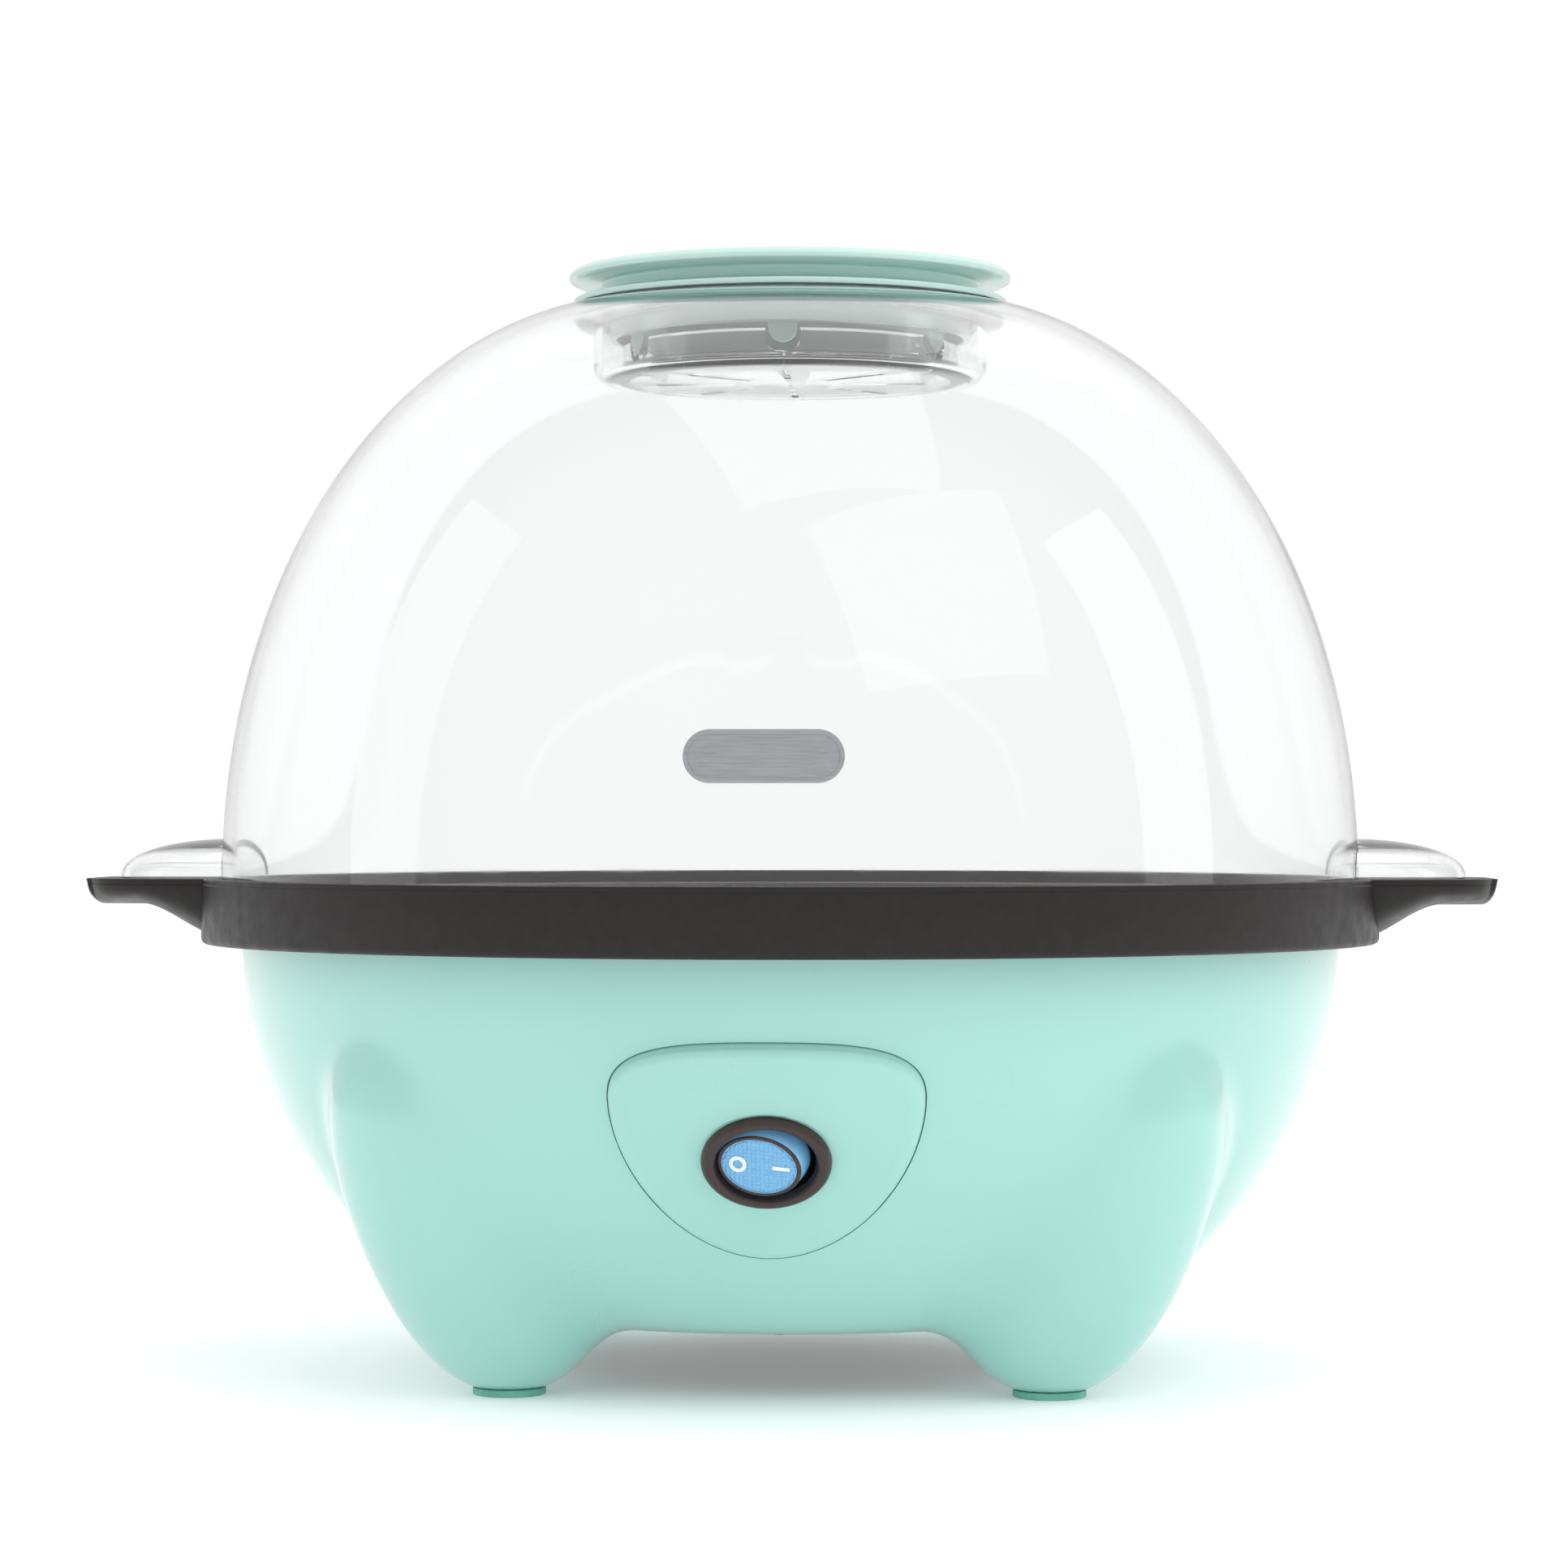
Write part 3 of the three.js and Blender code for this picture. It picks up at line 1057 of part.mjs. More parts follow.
piece("block_screw", screw(8).rotateX(Math.PI), steel())
  .position.set(0, blockY, blockFoot + BLOCK_HEIGHT + GAP);
for (const [name, geometry] of Object.entries(leads())) piece(name, geometry, paint(0x8a3b2f, 0.5));

export default popcornMaker;
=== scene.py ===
import json
import math

import bmesh
import bpy
import numpy as np
from mathutils import Matrix, Vector


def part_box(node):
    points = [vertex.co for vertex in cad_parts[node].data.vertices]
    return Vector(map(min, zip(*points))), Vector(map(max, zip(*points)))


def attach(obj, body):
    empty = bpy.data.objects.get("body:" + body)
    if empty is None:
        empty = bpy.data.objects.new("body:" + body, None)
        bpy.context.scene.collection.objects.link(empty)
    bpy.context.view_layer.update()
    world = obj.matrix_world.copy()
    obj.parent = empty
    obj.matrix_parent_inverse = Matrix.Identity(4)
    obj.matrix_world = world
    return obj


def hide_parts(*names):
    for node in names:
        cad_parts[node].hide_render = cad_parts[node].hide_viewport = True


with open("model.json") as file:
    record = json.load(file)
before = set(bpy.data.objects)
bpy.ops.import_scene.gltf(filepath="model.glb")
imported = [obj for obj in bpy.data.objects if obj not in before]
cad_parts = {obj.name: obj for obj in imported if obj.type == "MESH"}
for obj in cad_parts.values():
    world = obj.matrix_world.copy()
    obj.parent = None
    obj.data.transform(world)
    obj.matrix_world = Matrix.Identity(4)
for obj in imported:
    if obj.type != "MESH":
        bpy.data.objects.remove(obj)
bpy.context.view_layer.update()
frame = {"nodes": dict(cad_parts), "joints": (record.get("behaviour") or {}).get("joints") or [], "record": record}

MM = 0.001
GAP = 0.3 * MM  # between pieces that touch
NO_TURN = Matrix.Identity(4)

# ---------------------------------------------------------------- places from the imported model
ring_low, ring_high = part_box("rim_ring")
dome_low, dome_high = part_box("dome_cover")
cap_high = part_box("lid_cap")[1]
base_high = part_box("base_housing")[1]
dish_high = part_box("heating_plate")[1]
cover_low, cover_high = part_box("bottom_cover")
pad_low, pad_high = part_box("foot_pad_1")
badge_low, badge_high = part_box("badge_plate")
bezel_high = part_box("switch_bezel")[1]
panel_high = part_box("switch_panel")[1]
gland_low, gland_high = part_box("cord_gland")
hub_low, hub_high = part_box("stir_hub")
nut_low, nut_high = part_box("stir_nut")

ring_radius = ring_high.y
ring_top = ring_high.z
collar_low = ring_low.z
dome_radius = dome_high.y
dome_foot = dome_low.z
dome_top = dome_high.z
base_top = base_high.z
underside = cover_low.z
cover_radius = cover_high.x
dish_radius = dish_high.x
rocker_joint = next(j for j in frame["joints"] if j["name"] == "rocker_tilt")


# ---------------------------------------------------------------- curves and outlines
def bezier(points, count):
    """Points along a Bezier curve of any degree."""
    t = np.linspace(0, 1, count)[:, None]
    level = [np.asarray(p, float)[None, :].repeat(count, 0) for p in points]
    while len(level) > 1:
        level = [a * (1 - t) + b * t for a, b in zip(level, level[1:])]
    return level[0]


def moved_inward(curve, distance):
    """A curve moved square to itself, to the right of its direction."""
    along = np.gradient(curve, axis=0)
    along /= np.linalg.norm(along, axis=1)[:, None]
    return curve + distance * np.stack([along[:, 1], -along[:, 0]], 1)


def rounded(corners, steps=5):
    """A closed outline whose corners (x, y, radius) are rounded by an arc-like curve."""
    out = []
    count = len(corners)
    for i, corner in enumerate(corners):
        here = np.array(corner[:2], float)
        radius = corner[2] if len(corner) > 2 else 0
        before = np.array(corners[i - 1][:2], float)
        after = np.array(corners[(i + 1) % count][:2], float)
        to_before, to_after = before - here, after - here
        long_before, long_after = np.linalg.norm(to_before), np.linalg.norm(to_after)
        if not radius:
            out.append(here)
            continue
        to_before, to_after = to_before / long_before, to_after / long_after
        half = math.acos(np.clip(to_before @ to_after, -1, 1)) / 2
        reach = min(radius / max(math.tan(half), 1e-6), 0.49 * long_before, 0.49 * long_after)
        ends = (here + to_before * reach, here, here + to_after * reach)
        out.extend(bezier(ends, steps + 1))
    return np.array(out)


# ---------------------------------------------------------------- meshes
def smooth_up_to(obj, degrees):
    obj.data.shade_smooth()
    obj.data.set_sharp_from_angle(angle=math.radians(degrees))


def new_piece(name, solid, body, slot, replaces=None, smooth=40, material=None):
    """A visible piece that moves with a body and may stand for a CAD node."""
    piece = tool(*solid, name)
    piece.data.validate()
    piece.data.materials.append(material or MATERIALS[slot])
    smooth_up_to(piece, smooth)
    if replaces:
        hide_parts(replaces)
    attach(piece, body)
    return piece


def grid_faces(rows, columns, wrap_columns=True, wrap_rows=False):
    faces = []
    for i in range(rows if wrap_rows else rows - 1):
        for j in range(columns if wrap_columns else columns - 1):
            k, m = (j + 1) % columns, (i + 1) % rows
            faces.append((i * columns + j, i * columns + k, m * columns + k, m * columns + j))
    return faces


def turned_mesh(outline, segments=128, squash=1.0):
    """A closed (radius, z) outline turned about Z. Points on the axis are shared."""
    outline = np.asarray(outline, float)
    x, y = outline[:, 0], outline[:, 1]
    if np.sum(x * np.roll(y, -1) - np.roll(x, -1) * y) < 0:
        outline = outline[::-1]
    angles = np.arange(segments) * 2 * math.pi / segments
    verts, rings = [], []
    for radius, z in outline:
        if radius < 1e-7:
            rings.append([len(verts)] * segments)
            verts.append((0, 0, z))
        else:
            rings.append(list(range(len(verts), len(verts) + segments)))
            verts.extend(
                (radius * math.cos(a), squash * radius * math.sin(a), z) for a in angles)
    faces = []
    for i, ring in enumerate(rings):
        above = rings[(i + 1) % len(rings)]
        for j in range(segments):
            k = (j + 1) % segments
            face = [ring[j], ring[k], above[k], above[j]]
            face = list(dict.fromkeys(face))
            if len(face) > 2:
                faces.append(face)
    return np.array(verts, float), faces


def loft_mesh(rings):
    """Skins rings of the same number of points. The ends are closed by flat faces."""
    rings = [np.asarray(r, float) for r in rings]
    count = len(rings[0])
    faces = grid_faces(len(rings), count)
    faces.append(tuple(range(count))[::-1])
    faces.append(tuple((len(rings) - 1) * count + j for j in range(count)))
    return np.concatenate(rings), faces


def placed(verts, matrix):
    verts = np.asarray(verts, float)
    m = np.array(matrix)
    return verts @ m[:3, :3].T + m[:3, 3]


def tool(verts, faces, name="tool"):
    """A solid, by itself for a boolean cut or join."""
    mesh = bpy.data.meshes.new(name)
    mesh.from_pydata([tuple(v) for v in verts], [], [tuple(f) for f in faces])
    made = bpy.data.objects.new(name, mesh)
    bpy.context.scene.collection.objects.link(made)
    fix_normals(made)
    return made


def fix_normals(obj):
    work = bmesh.new()
    work.from_mesh(obj.data)
    bmesh.ops.recalc_face_normals(work, faces=work.faces)
    work.to_mesh(obj.data)
    work.free()


def carve(obj, tools, operation="DIFFERENCE", smooth=None):
    """Cuts or joins solids, removes the tools, and shades smooth up to an angle."""
    fix_normals(obj)
    for solid in tools:
        modifier = obj.modifiers.new("carve", "BOOLEAN")
        modifier.operation = operation
        modifier.solver = "MANIFOLD"
        modifier.object = solid
    graph = bpy.context.evaluated_depsgraph_get()
    result = bpy.data.meshes.new_from_object(obj.evaluated_get(graph))
    obj.modifiers.clear()
    old = obj.data
    result.materials.clear()
    if old.materials:
        result.materials.append(old.materials[0])
    result.polygons.foreach_set("material_index", [0] * len(result.polygons))
    obj.data = result
    bpy.data.meshes.remove(old)
    for solid in tools:
        mesh = solid.data
        bpy.data.objects.remove(solid)
        bpy.data.meshes.remove(mesh)
    if smooth:
        smooth_up_to(obj, smooth)


def turn_z(angle):
    return Matrix.Rotation(angle, 4, "Z")


def moved(x, y, z=0):
    return Matrix.Translation((x, y, z))


def polar(radius, angle):
    """A move outward along a direction, without a turn."""
    return moved(radius * math.cos(angle), radius * math.sin(angle))


def solid_at(solid, matrix):
    return placed(solid[0], matrix), solid[1]


def box_tool(x, y, z, matrix=NO_TURN):
    corners = [(a, b, c) for c in z for b in y for a in x]
    faces = [(0, 2, 3, 1), (4, 5, 7, 6), (0, 1, 5, 4), (2, 6, 7, 3), (0, 4, 6, 2), (1, 3, 7, 5)]
    return tool(placed(corners, matrix), faces)


def rod_tool(radius, z, matrix=NO_TURN, segments=64):
    """A round bar from the first z to the second."""
    low, high = z
    bar = turned_mesh([(0, low), (radius, low), (radius, high), (0, high)], segments)
    return tool(*solid_at(bar, matrix))


def prism(outline, z):
    """A solid with straight sides over a closed (x, y) outline."""
    return loft_mesh([[(x, y, level) for x, y in outline] for level in z])


def round_slot(middle, half_length, radius, steps=10):
    """The outline of a slot along X with round ends."""
    return [(middle + x + radius * math.cos(a), radius * math.sin(a))
            for x, start in ((half_length - radius, -90), (radius - half_length, 90))
            for a in np.radians(np.linspace(start, start + 180, steps))]


def tube_mesh(points, radius, sides=20):
    """A round wire along a smooth path, with flat ends. Each ring turns with the path."""
    points = np.asarray(points, float)
    along = np.gradient(points, axis=0)
    along /= np.linalg.norm(along, axis=1)[:, None]
    side = np.cross(along[0], (0, 0, 1.0))
    if np.linalg.norm(side) < 1e-6:
        side = np.array((1.0, 0, 0))
    rings = []
    angles = np.arange(sides) * 2 * math.pi / sides
    for point, direction in zip(points, along):
        side = side - direction * (side @ direction)
        side /= np.linalg.norm(side)
        up = np.cross(side, direction)
        rings.append(point + radius * (np.cos(angles)[:, None] * side + np.sin(angles)[:, None] * up))
    return loft_mesh(rings)


def through(points, count):
    """A smooth path through points (Catmull-Rom)."""
    p = np.asarray(points, float)
    p = np.vstack([2 * p[0] - p[1], p, 2 * p[-1] - p[-2]])
    spans = len(p) - 3
    out = []
    for t in np.linspace(0, spans, count):
        i = min(int(t), spans - 1)
        u = t - i
        a, b, c, d = p[i:i + 4]
        out.append(0.5 * (2 * b + (c - a) * u + (2 * a - 5 * b + 4 * c - d) * u * u
                          + (3 * b - a - 3 * c + d) * u ** 3))
    return np.array(out)


# ---------------------------------------------------------------- materials
def tint(red, green, blue):
    """An sRGB colour, 0 to 255, as the linear colour that a shader takes."""
    def linear(v):
        v /= 255
        return v / 12.92 if v <= 0.04045 else ((v + 0.055) / 1.055) ** 2.4
    return (linear(red), linear(green), linear(blue), 1)


def map_range(tree, source, from_low, from_high, low, high):
    node = tree.nodes.new("ShaderNodeMapRange")
    limits = {"From Min": from_low, "From Max": from_high, "To Min": low, "To Max": high}
    for socket, value in limits.items():
        node.inputs[socket].default_value = value
    tree.links.new(source, node.inputs["Value"])
    return node.outputs["Result"]


class Finish:
    """A procedural material. Its textures are laid in the object's own metres."""

    def __init__(self, name, colour, roughness, **sockets):
        self.material = bpy.data.materials.new(name)
        self.material.use_nodes = True
        self.nodes = self.material.node_tree.nodes
        self.links = self.material.node_tree.links
        self.shader = self.nodes["Principled BSDF"]
        self.shader.inputs["Base Color"].default_value = colour
        self.shader.inputs["Roughness"].default_value = roughness
        for socket, value in sockets.items():
            self.shader.inputs[socket.replace("_", " ")].default_value = value
        self.place = self.nodes.new("ShaderNodeTexCoord").outputs["Object"]

    def stretched(self, x, y, z):
        node = self.nodes.new("ShaderNodeMapping")
        node.inputs["Scale"].default_value = (x, y, z)
        self.links.new(self.place, node.inputs["Vector"])
        return node.outputs["Vector"]

    def noise(self, size, detail=3, place=None, roughness=0.5):
        """Noise whose lumps are about `size` metres across."""
        node = self.nodes.new("ShaderNodeTexNoise")
        node.inputs["Scale"].default_value = 1 / size
        node.inputs["Detail"].default_value = detail
        node.inputs["Roughness"].default_value = roughness
        self.links.new(place or self.place, node.inputs["Vector"])
        return node.outputs["Fac"]

    def spread(self, source, low, high, from_low=0.3, from_high=0.7):
        return map_range(self, source, from_low, from_high, low, high)

    def vary_colour(self, source, low, high, from_low=0.3, from_high=0.7):
        node = self.nodes.new("ShaderNodeMix")
        node.data_type = "RGBA"
        node.inputs["A"].default_value = low
        node.inputs["B"].default_value = high
        self.links.new(self.spread(source, 0, 1, from_low, from_high), node.inputs["Factor"])
        self.links.new(node.outputs["Result"], self.shader.inputs["Base Color"])
        return self

    def vary_roughness(self, source, low, high):
        self.links.new(self.spread(source, low, high), self.shader.inputs["Roughness"])
        return self

    def bump(self, source, depth):
        node = self.nodes.new("ShaderNodeBump")
        node.inputs["Distance"].default_value = depth
        self.links.new(source, node.inputs["Height"])
        self.links.new(node.outputs["Normal"], self.shader.inputs["Normal"])
        return self


def shade(colour, factor):
    return tuple(min(1, c * factor) for c in colour[:3]) + (1,)


def mint_plastic(name, colour):
    made = Finish(name, colour, 0.3, Coat_Weight=0.7, Coat_Roughness=0.1)
    made.vary_colour(made.noise(90 * MM, 2), shade(colour, 0.98), shade(colour, 1.02))
    made.vary_roughness(made.noise(30 * MM, 3), 0.27, 0.34)
    return made.bump(made.noise(0.9 * MM, 2), 0.003 * MM).material


def moulded(name, colour, roughness, grain, depth, **sockets):
    """A satin moulding with a fine spark-eroded grain."""
    made = Finish(name, colour, roughness, **sockets)
    made.vary_colour(made.noise(3 * MM, 5), shade(colour, 0.88), shade(colour, 1.15))
    made.vary_roughness(made.noise(5 * MM, 5), roughness - 0.07, roughness + 0.07)
    return made.bump(made.noise(grain, 3, roughness=0.6), depth).material


def clear_plastic():
    made = Finish("clear_plastic", (0.986, 0.99, 0.991, 1), 0.02, Transmission_Weight=1.0, IOR=1.49)
    made.vary_roughness(made.noise(14 * MM, 4), 0.01, 0.045)
    return made.bump(made.noise(38 * MM, 1), 0.05 * MM).material


def nonstick_coating():
    dark, fleck = tint(46, 45, 47), tint(120, 118, 118)
    made = Finish("nonstick", dark, 0.42, Coat_Weight=0.2, Coat_Roughness=0.3)
    made.vary_colour(made.noise(0.7 * MM, 2), dark, fleck, 0.66, 0.74)
    made.vary_roughness(made.noise(18 * MM, 4), 0.34, 0.5)
    return made.bump(made.noise(0.6 * MM, 3), 0.012 * MM).material


def steel(name, colour, roughness, along=(1, 1, 12)):
    made = Finish(name, colour, roughness, Metallic=1.0)
    lines = made.noise(1.2 * MM, 3, made.stretched(*along))
    made.vary_colour(made.noise(12 * MM, 3), shade(colour, 0.9), shade(colour, 1.06))
    made.vary_roughness(lines, roughness - 0.08, roughness + 0.12)
    return made.bump(lines, 0.004 * MM).material


def copper_winding():
    made = Finish("copper_winding", tint(186, 104, 52), 0.3, Metallic=0.9, Coat_Weight=0.4)
    turns = made.nodes.new("ShaderNodeTexWave")
    turns.bands_direction = "Z"
    turns.inputs["Scale"].default_value = 1 / (2.2 * MM)
    turns.inputs["Distortion"].default_value = 1.5
    made.links.new(made.place, turns.inputs["Vector"])
    made.vary_colour(turns.outputs["Fac"], tint(120, 58, 26), tint(205, 124, 66), 0.1, 0.9)
    made.vary_roughness(made.noise(4 * MM), 0.24, 0.4)
    return made.bump(turns.outputs["Fac"], 0.12 * MM).material


def blue_key_with_painted_glow():
    # Emission paints a faint glow on the key; no lamp is in it.
    made = Finish("rocker_blue", tint(128, 190, 226), 0.18, Transmission_Weight=0.2, IOR=1.49,
                  Emission_Strength=0.12, Coat_Weight=0.6, Coat_Roughness=0.06)
    made.shader.inputs["Emission Color"].default_value = tint(120, 190, 235)
    made.vary_colour(made.noise(1.2 * MM, 2), tint(122, 184, 222), tint(134, 194, 230))
    made.vary_roughness(made.noise(2 * MM, 3), 0.12, 0.26)
    return made.bump(made.noise(0.5 * MM, 2), 0.01 * MM).material


def heater_skin():
    made = Finish("heater_sheath", tint(104, 98, 92), 0.5, Metallic=0.8)
    made.vary_colour(made.noise(10 * MM, 5), tint(70, 60, 56), tint(138, 124, 108))
    made.vary_roughness(made.noise(3 * MM, 4), 0.4, 0.62)
    return made.bump(made.noise(0.8 * MM, 4), 0.03 * MM).material


def silver_badge():
    made = Finish("badge_silver", tint(158, 160, 163), 0.38, Metallic=0.6)
    lines = made.noise(0.5 * MM, 2, made.stretched(0.06, 1, 1))
    made.vary_colour(lines, tint(150, 152, 155), tint(164, 166, 169))
    made.vary_roughness(lines, 0.32, 0.46)
    return made.bump(lines, 0.003 * MM).material


MATERIALS = {
    "mint_plastic": mint_plastic("mint_plastic", tint(155, 210, 200)),
    "charcoal_plastic": moulded("charcoal_plastic", tint(30, 27, 26), 0.44, 0.4 * MM, 0.016 * MM,
                                Specular_IOR_Level=0.3),
    "clear_plastic": clear_plastic(),
    "nonstick": nonstick_coating(),
    "bare_steel": steel("bare_steel", tint(196, 198, 200), 0.3),
    "zinc_screw": steel("zinc_screw", tint(190, 190, 178), 0.34, (1, 1, 1)),
    "heater_sheath": heater_skin(),
    "brass_part": steel("brass_part", tint(206, 172, 104), 0.3),
    "copper_winding": copper_winding(),
    "magnet": moulded("magnet", tint(88, 82, 80), 0.6, 0.3 * MM, 0.02 * MM),
    "nylon": moulded("nylon", tint(232, 228, 216), 0.42, 0.8 * MM, 0.008 * MM),
    "rubber_foot": moulded("rubber_foot", tint(42, 42, 42), 0.8, 0.5 * MM, 0.03 * MM),
    "badge_silver": silver_badge(),
    # the key's blue, with a painted glow
    "rocker_blue": blue_key_with_painted_glow(),
    "phenolic": moulded("phenolic", tint(78, 56, 42), 0.5, 0.6 * MM, 0.012 * MM),
    "lead_sleeve": moulded("lead_sleeve", tint(150, 62, 50), 0.55, 0.5 * MM, 0.01 * MM),
}
SWITCH_BROWN = moulded("switch_brown", tint(50, 34, 30), 0.32, 0.45 * MM, 0.025 * MM)
# The cap's mint: the base's mint plastic painted lighter, as painted light falling on the cap's top.
CAP_MINT_LIT_COPY = mint_plastic("cap_mint_lit_copy", tint(192, 226, 217))
PAD_RUBBER = moulded("pad_rubber", tint(118, 186, 168), 0.7, 0.5 * MM, 0.03 * MM)
MARK_WHITE = moulded("mark_white", tint(236, 240, 242), 0.4, 0.4 * MM, 0.004 * MM)

# the CAD nodes that stay take their slot's finish, shaded smooth up to an angle
for row in frame["record"]["subparts"]:
    node = frame["nodes"][row["node"]]
    node.data.materials.clear()
    node.data.materials.append(MATERIALS[row["material_slot"]])
    smooth_up_to(node, 40)


# ---------------------------------------------------------------- base's wall
# The side is a cubic curve from the rim down, then the heel a quadratic one to the flat underside.
base_radius = base_high.x
wall_rise = base_top - underside
BASE_WALL = 2.6 * MM
HEEL_START = (0.75, 0.137)  # shares of the base's radius and height, as below


def wall_point(share, height):
    return (share * base_radius, underside + height * wall_rise)


side_curve = bezier([wall_point(*p) for p in ((1, 1), (1, 0.576), (0.8686, 0.313), HEEL_START)], 60)
heel_curve = bezier([wall_point(*p) for p in (HEEL_START, (0.658, 0), (0.57, 0))], 24)
wall_curve = np.vstack([side_curve, heel_curve[1:]])
leg_circle = math.hypot(*((pad_low + pad_high) / 2).xy)
LEG_RADIUS = 31 * MM
LEG_TOP = 84 * MM
LEG_LEAN = 39 * MM  # how far outward the top stands
LEG_BLEND = 9 * MM
PAD_TOP = 1.9 * MM
SOLE = 0.8 * MM  # the legs' lowest edge: the pads stand in shallow pockets
SOLE_ROUND = 2.4 * MM


class RoundTable:
    """Signed distance to the bowl's outline, kept on a fine grid of radius and height."""

    step = 0.5 * MM

    def __init__(self):
        self.z0 = -0.02
        radii = np.arange(0, 0.24, self.step)
        heights = np.arange(self.z0, 0.2, self.step)
        r, z = np.meshgrid(radii, heights, indexing="ij")
        top = np.array([[side_curve[0][0], 0.3]])
        line = np.vstack([top, wall_curve, [[-0.3, underside]]])
        best = np.full(r.shape, 9.0)
        sign = np.ones(r.shape)
        for a, b in zip(line, line[1:]):
            d = b - a
            u = np.clip(((r - a[0]) * d[0] + (z - a[1]) * d[1]) / (d @ d), 0, 1)
            px, pz = r - a[0] - u * d[0], z - a[1] - u * d[1]
            distance = np.hypot(px, pz)
            nearer = distance < best
            best = np.where(nearer, distance, best)
            side = np.sign(d[1] * (r - a[0]) - d[0] * (z - a[1]))
            sign = np.where(nearer, -side, sign)
        self.values = best * sign

    def at(self, r, z):
        i = np.clip(r / self.step, 0, self.values.shape[0] - 1.001)
        j = np.clip((z - self.z0) / self.step, 0, self.values.shape[1] - 1.001)
        i0, j0 = i.astype(int), j.astype(int)
        u, v = i - i0, j - j0
        t = self.values
        return ((t[i0, j0] * (1 - u) + t[i0 + 1, j0] * u) * (1 - v)
                + (t[i0, j0 + 1] * (1 - u) + t[i0 + 1, j0 + 1] * u) * v)


bowl = RoundTable()


def blend(a, b, reach):
    """The union of two distances, with a soft fillet about `reach` wide."""
    h = np.maximum(reach - np.abs(a - b), 0) / reach
    return np.minimum(a, b) - h * h * reach / 4


gland_z = (gland_low.z + gland_high.z) / 2
GLAND_FLANGE = (gland_high.z - gland_low.z) / 2
GLAND_BODY = 6.5 * MM
GLAND_REACH = 13 * MM  # from the boss's face to the gland's end
gland_face = gland_high.y - GLAND_REACH
on_gland = moved(0, gland_face, gland_z) @ Matrix.Rotation(-math.pi / 2, 4, "X")
BOSS_RIM = 2.5 * MM
BOSS_START = 0.06
BOSS_BLEND = 5 * MM


def base_distance(x, y, z):
    """Signed distance to the outside of the base: bowl, four leaning legs, and the cord gland's boss."""
    d = bowl.at(np.hypot(x, y), z)
    u, v = (np.abs(x) + np.abs(y)) / math.sqrt(2), (np.abs(x) - np.abs(y)) / math.sqrt(2)
    middle = leg_circle + LEG_LEAN * (z / LEG_TOP) ** 2
    px, py, pz = (u - middle) / LEG_RADIUS, v / LEG_RADIUS, (z - LEG_TOP / 2) / (LEG_TOP / 2)
    k0 = np.sqrt(px ** 2 + py ** 2 + pz ** 2) + 1e-9
    k1 = np.sqrt((px / LEG_RADIUS) ** 2 + (py / LEG_RADIUS) ** 2 + (pz / (LEG_TOP / 2)) ** 2) + 1e-9
    lean = 2 * LEG_LEAN * z / LEG_TOP ** 2
    leg = k0 * (k0 - 1) / k1 / np.sqrt(1 + 0.5 * lean ** 2)
    d = blend(d, leg, LEG_BLEND)
    boss_round = np.hypot(x, z - gland_z) - (GLAND_FLANGE + BOSS_RIM)
    boss = np.maximum(np.maximum(boss_round, y - gland_face), BOSS_START - y)
    d = blend(d, boss, BOSS_BLEND)
    d = -blend(-d, z - SOLE, SOLE_ROUND)
    return np.maximum(d, z - base_top)


def surface_net(distance, low, high, step, polish=2):
    """A mesh of a distance function's zero level: a vertex in each crossed cell, moved onto the surface."""
    axes = [np.arange(a, b + step, step) for a, b in zip(low, high)]
    x, y, z = np.meshgrid(*axes, indexing="ij")
    f = distance(x, y, z)
    inside = f < 0
    shape = tuple(n - 1 for n in f.shape)
    total = np.zeros(shape + (3,))
    count = np.zeros(shape)
    corners = [(i, j, k) for i in (0, 1) for j in (0, 1) for k in (0, 1)]

    def window(array, c):
        return array[c[0]:c[0] + shape[0], c[1]:c[1] + shape[1], c[2]:c[2] + shape[2]]

    for a in corners:
        for axis in range(3):
            if a[axis]:
                continue
            b = tuple(v + (i == axis) for i, v in enumerate(a))
            fa, fb = window(f, a), window(f, b)
            crossed = (fa < 0) != (fb < 0)
            share = np.where(crossed, fa / np.where(crossed, fa - fb, 1), 0)
            for i in range(3):
                total[..., i] += np.where(crossed, a[i] + (share if i == axis else 0), 0)
            count += crossed
    used = count > 0
    index = np.full(shape, -1)
    index[used] = np.arange(used.sum())
    cell = np.argwhere(used)
    verts = np.array(low) + step * (cell + total[used] / count[used][:, None])
    faces = []
    for axis in range(3):
        u, v = (axis + 1) % 3, (axis + 2) % 3
        lower = [slice(None)] * 3
        upper = [slice(None)] * 3
        lower[axis], upper[axis] = slice(None, -1), slice(1, None)
        a, b = inside[tuple(lower)], inside[tuple(upper)]
        for edge in np.argwhere(a != b):
            if edge[u] == 0 or edge[v] == 0 or edge[u] >= shape[u] or edge[v] >= shape[v]:
                continue
            quad = []
            for du, dv in ((1, 1), (0, 1), (0, 0), (1, 0)):
                at = edge.copy()
                at[u] -= du
                at[v] -= dv
                quad.append(int(index[tuple(at)]))
            faces.append(quad if a[tuple(edge)] else quad[::-1])
    for _ in range(polish):
        e = 0.2 * step
        here = distance(*verts.T)
        slope = np.stack([distance(*(verts + e * axis).T) - distance(*(verts - e * axis).T)
                          for axis in np.eye(3)], 1) / (2 * e)
        size = np.maximum((slope ** 2).sum(1), 0.25)
        move = -(here / size)[:, None] * slope
        verts = verts + np.clip(move, -step / 2, step / 2)
    return verts, faces


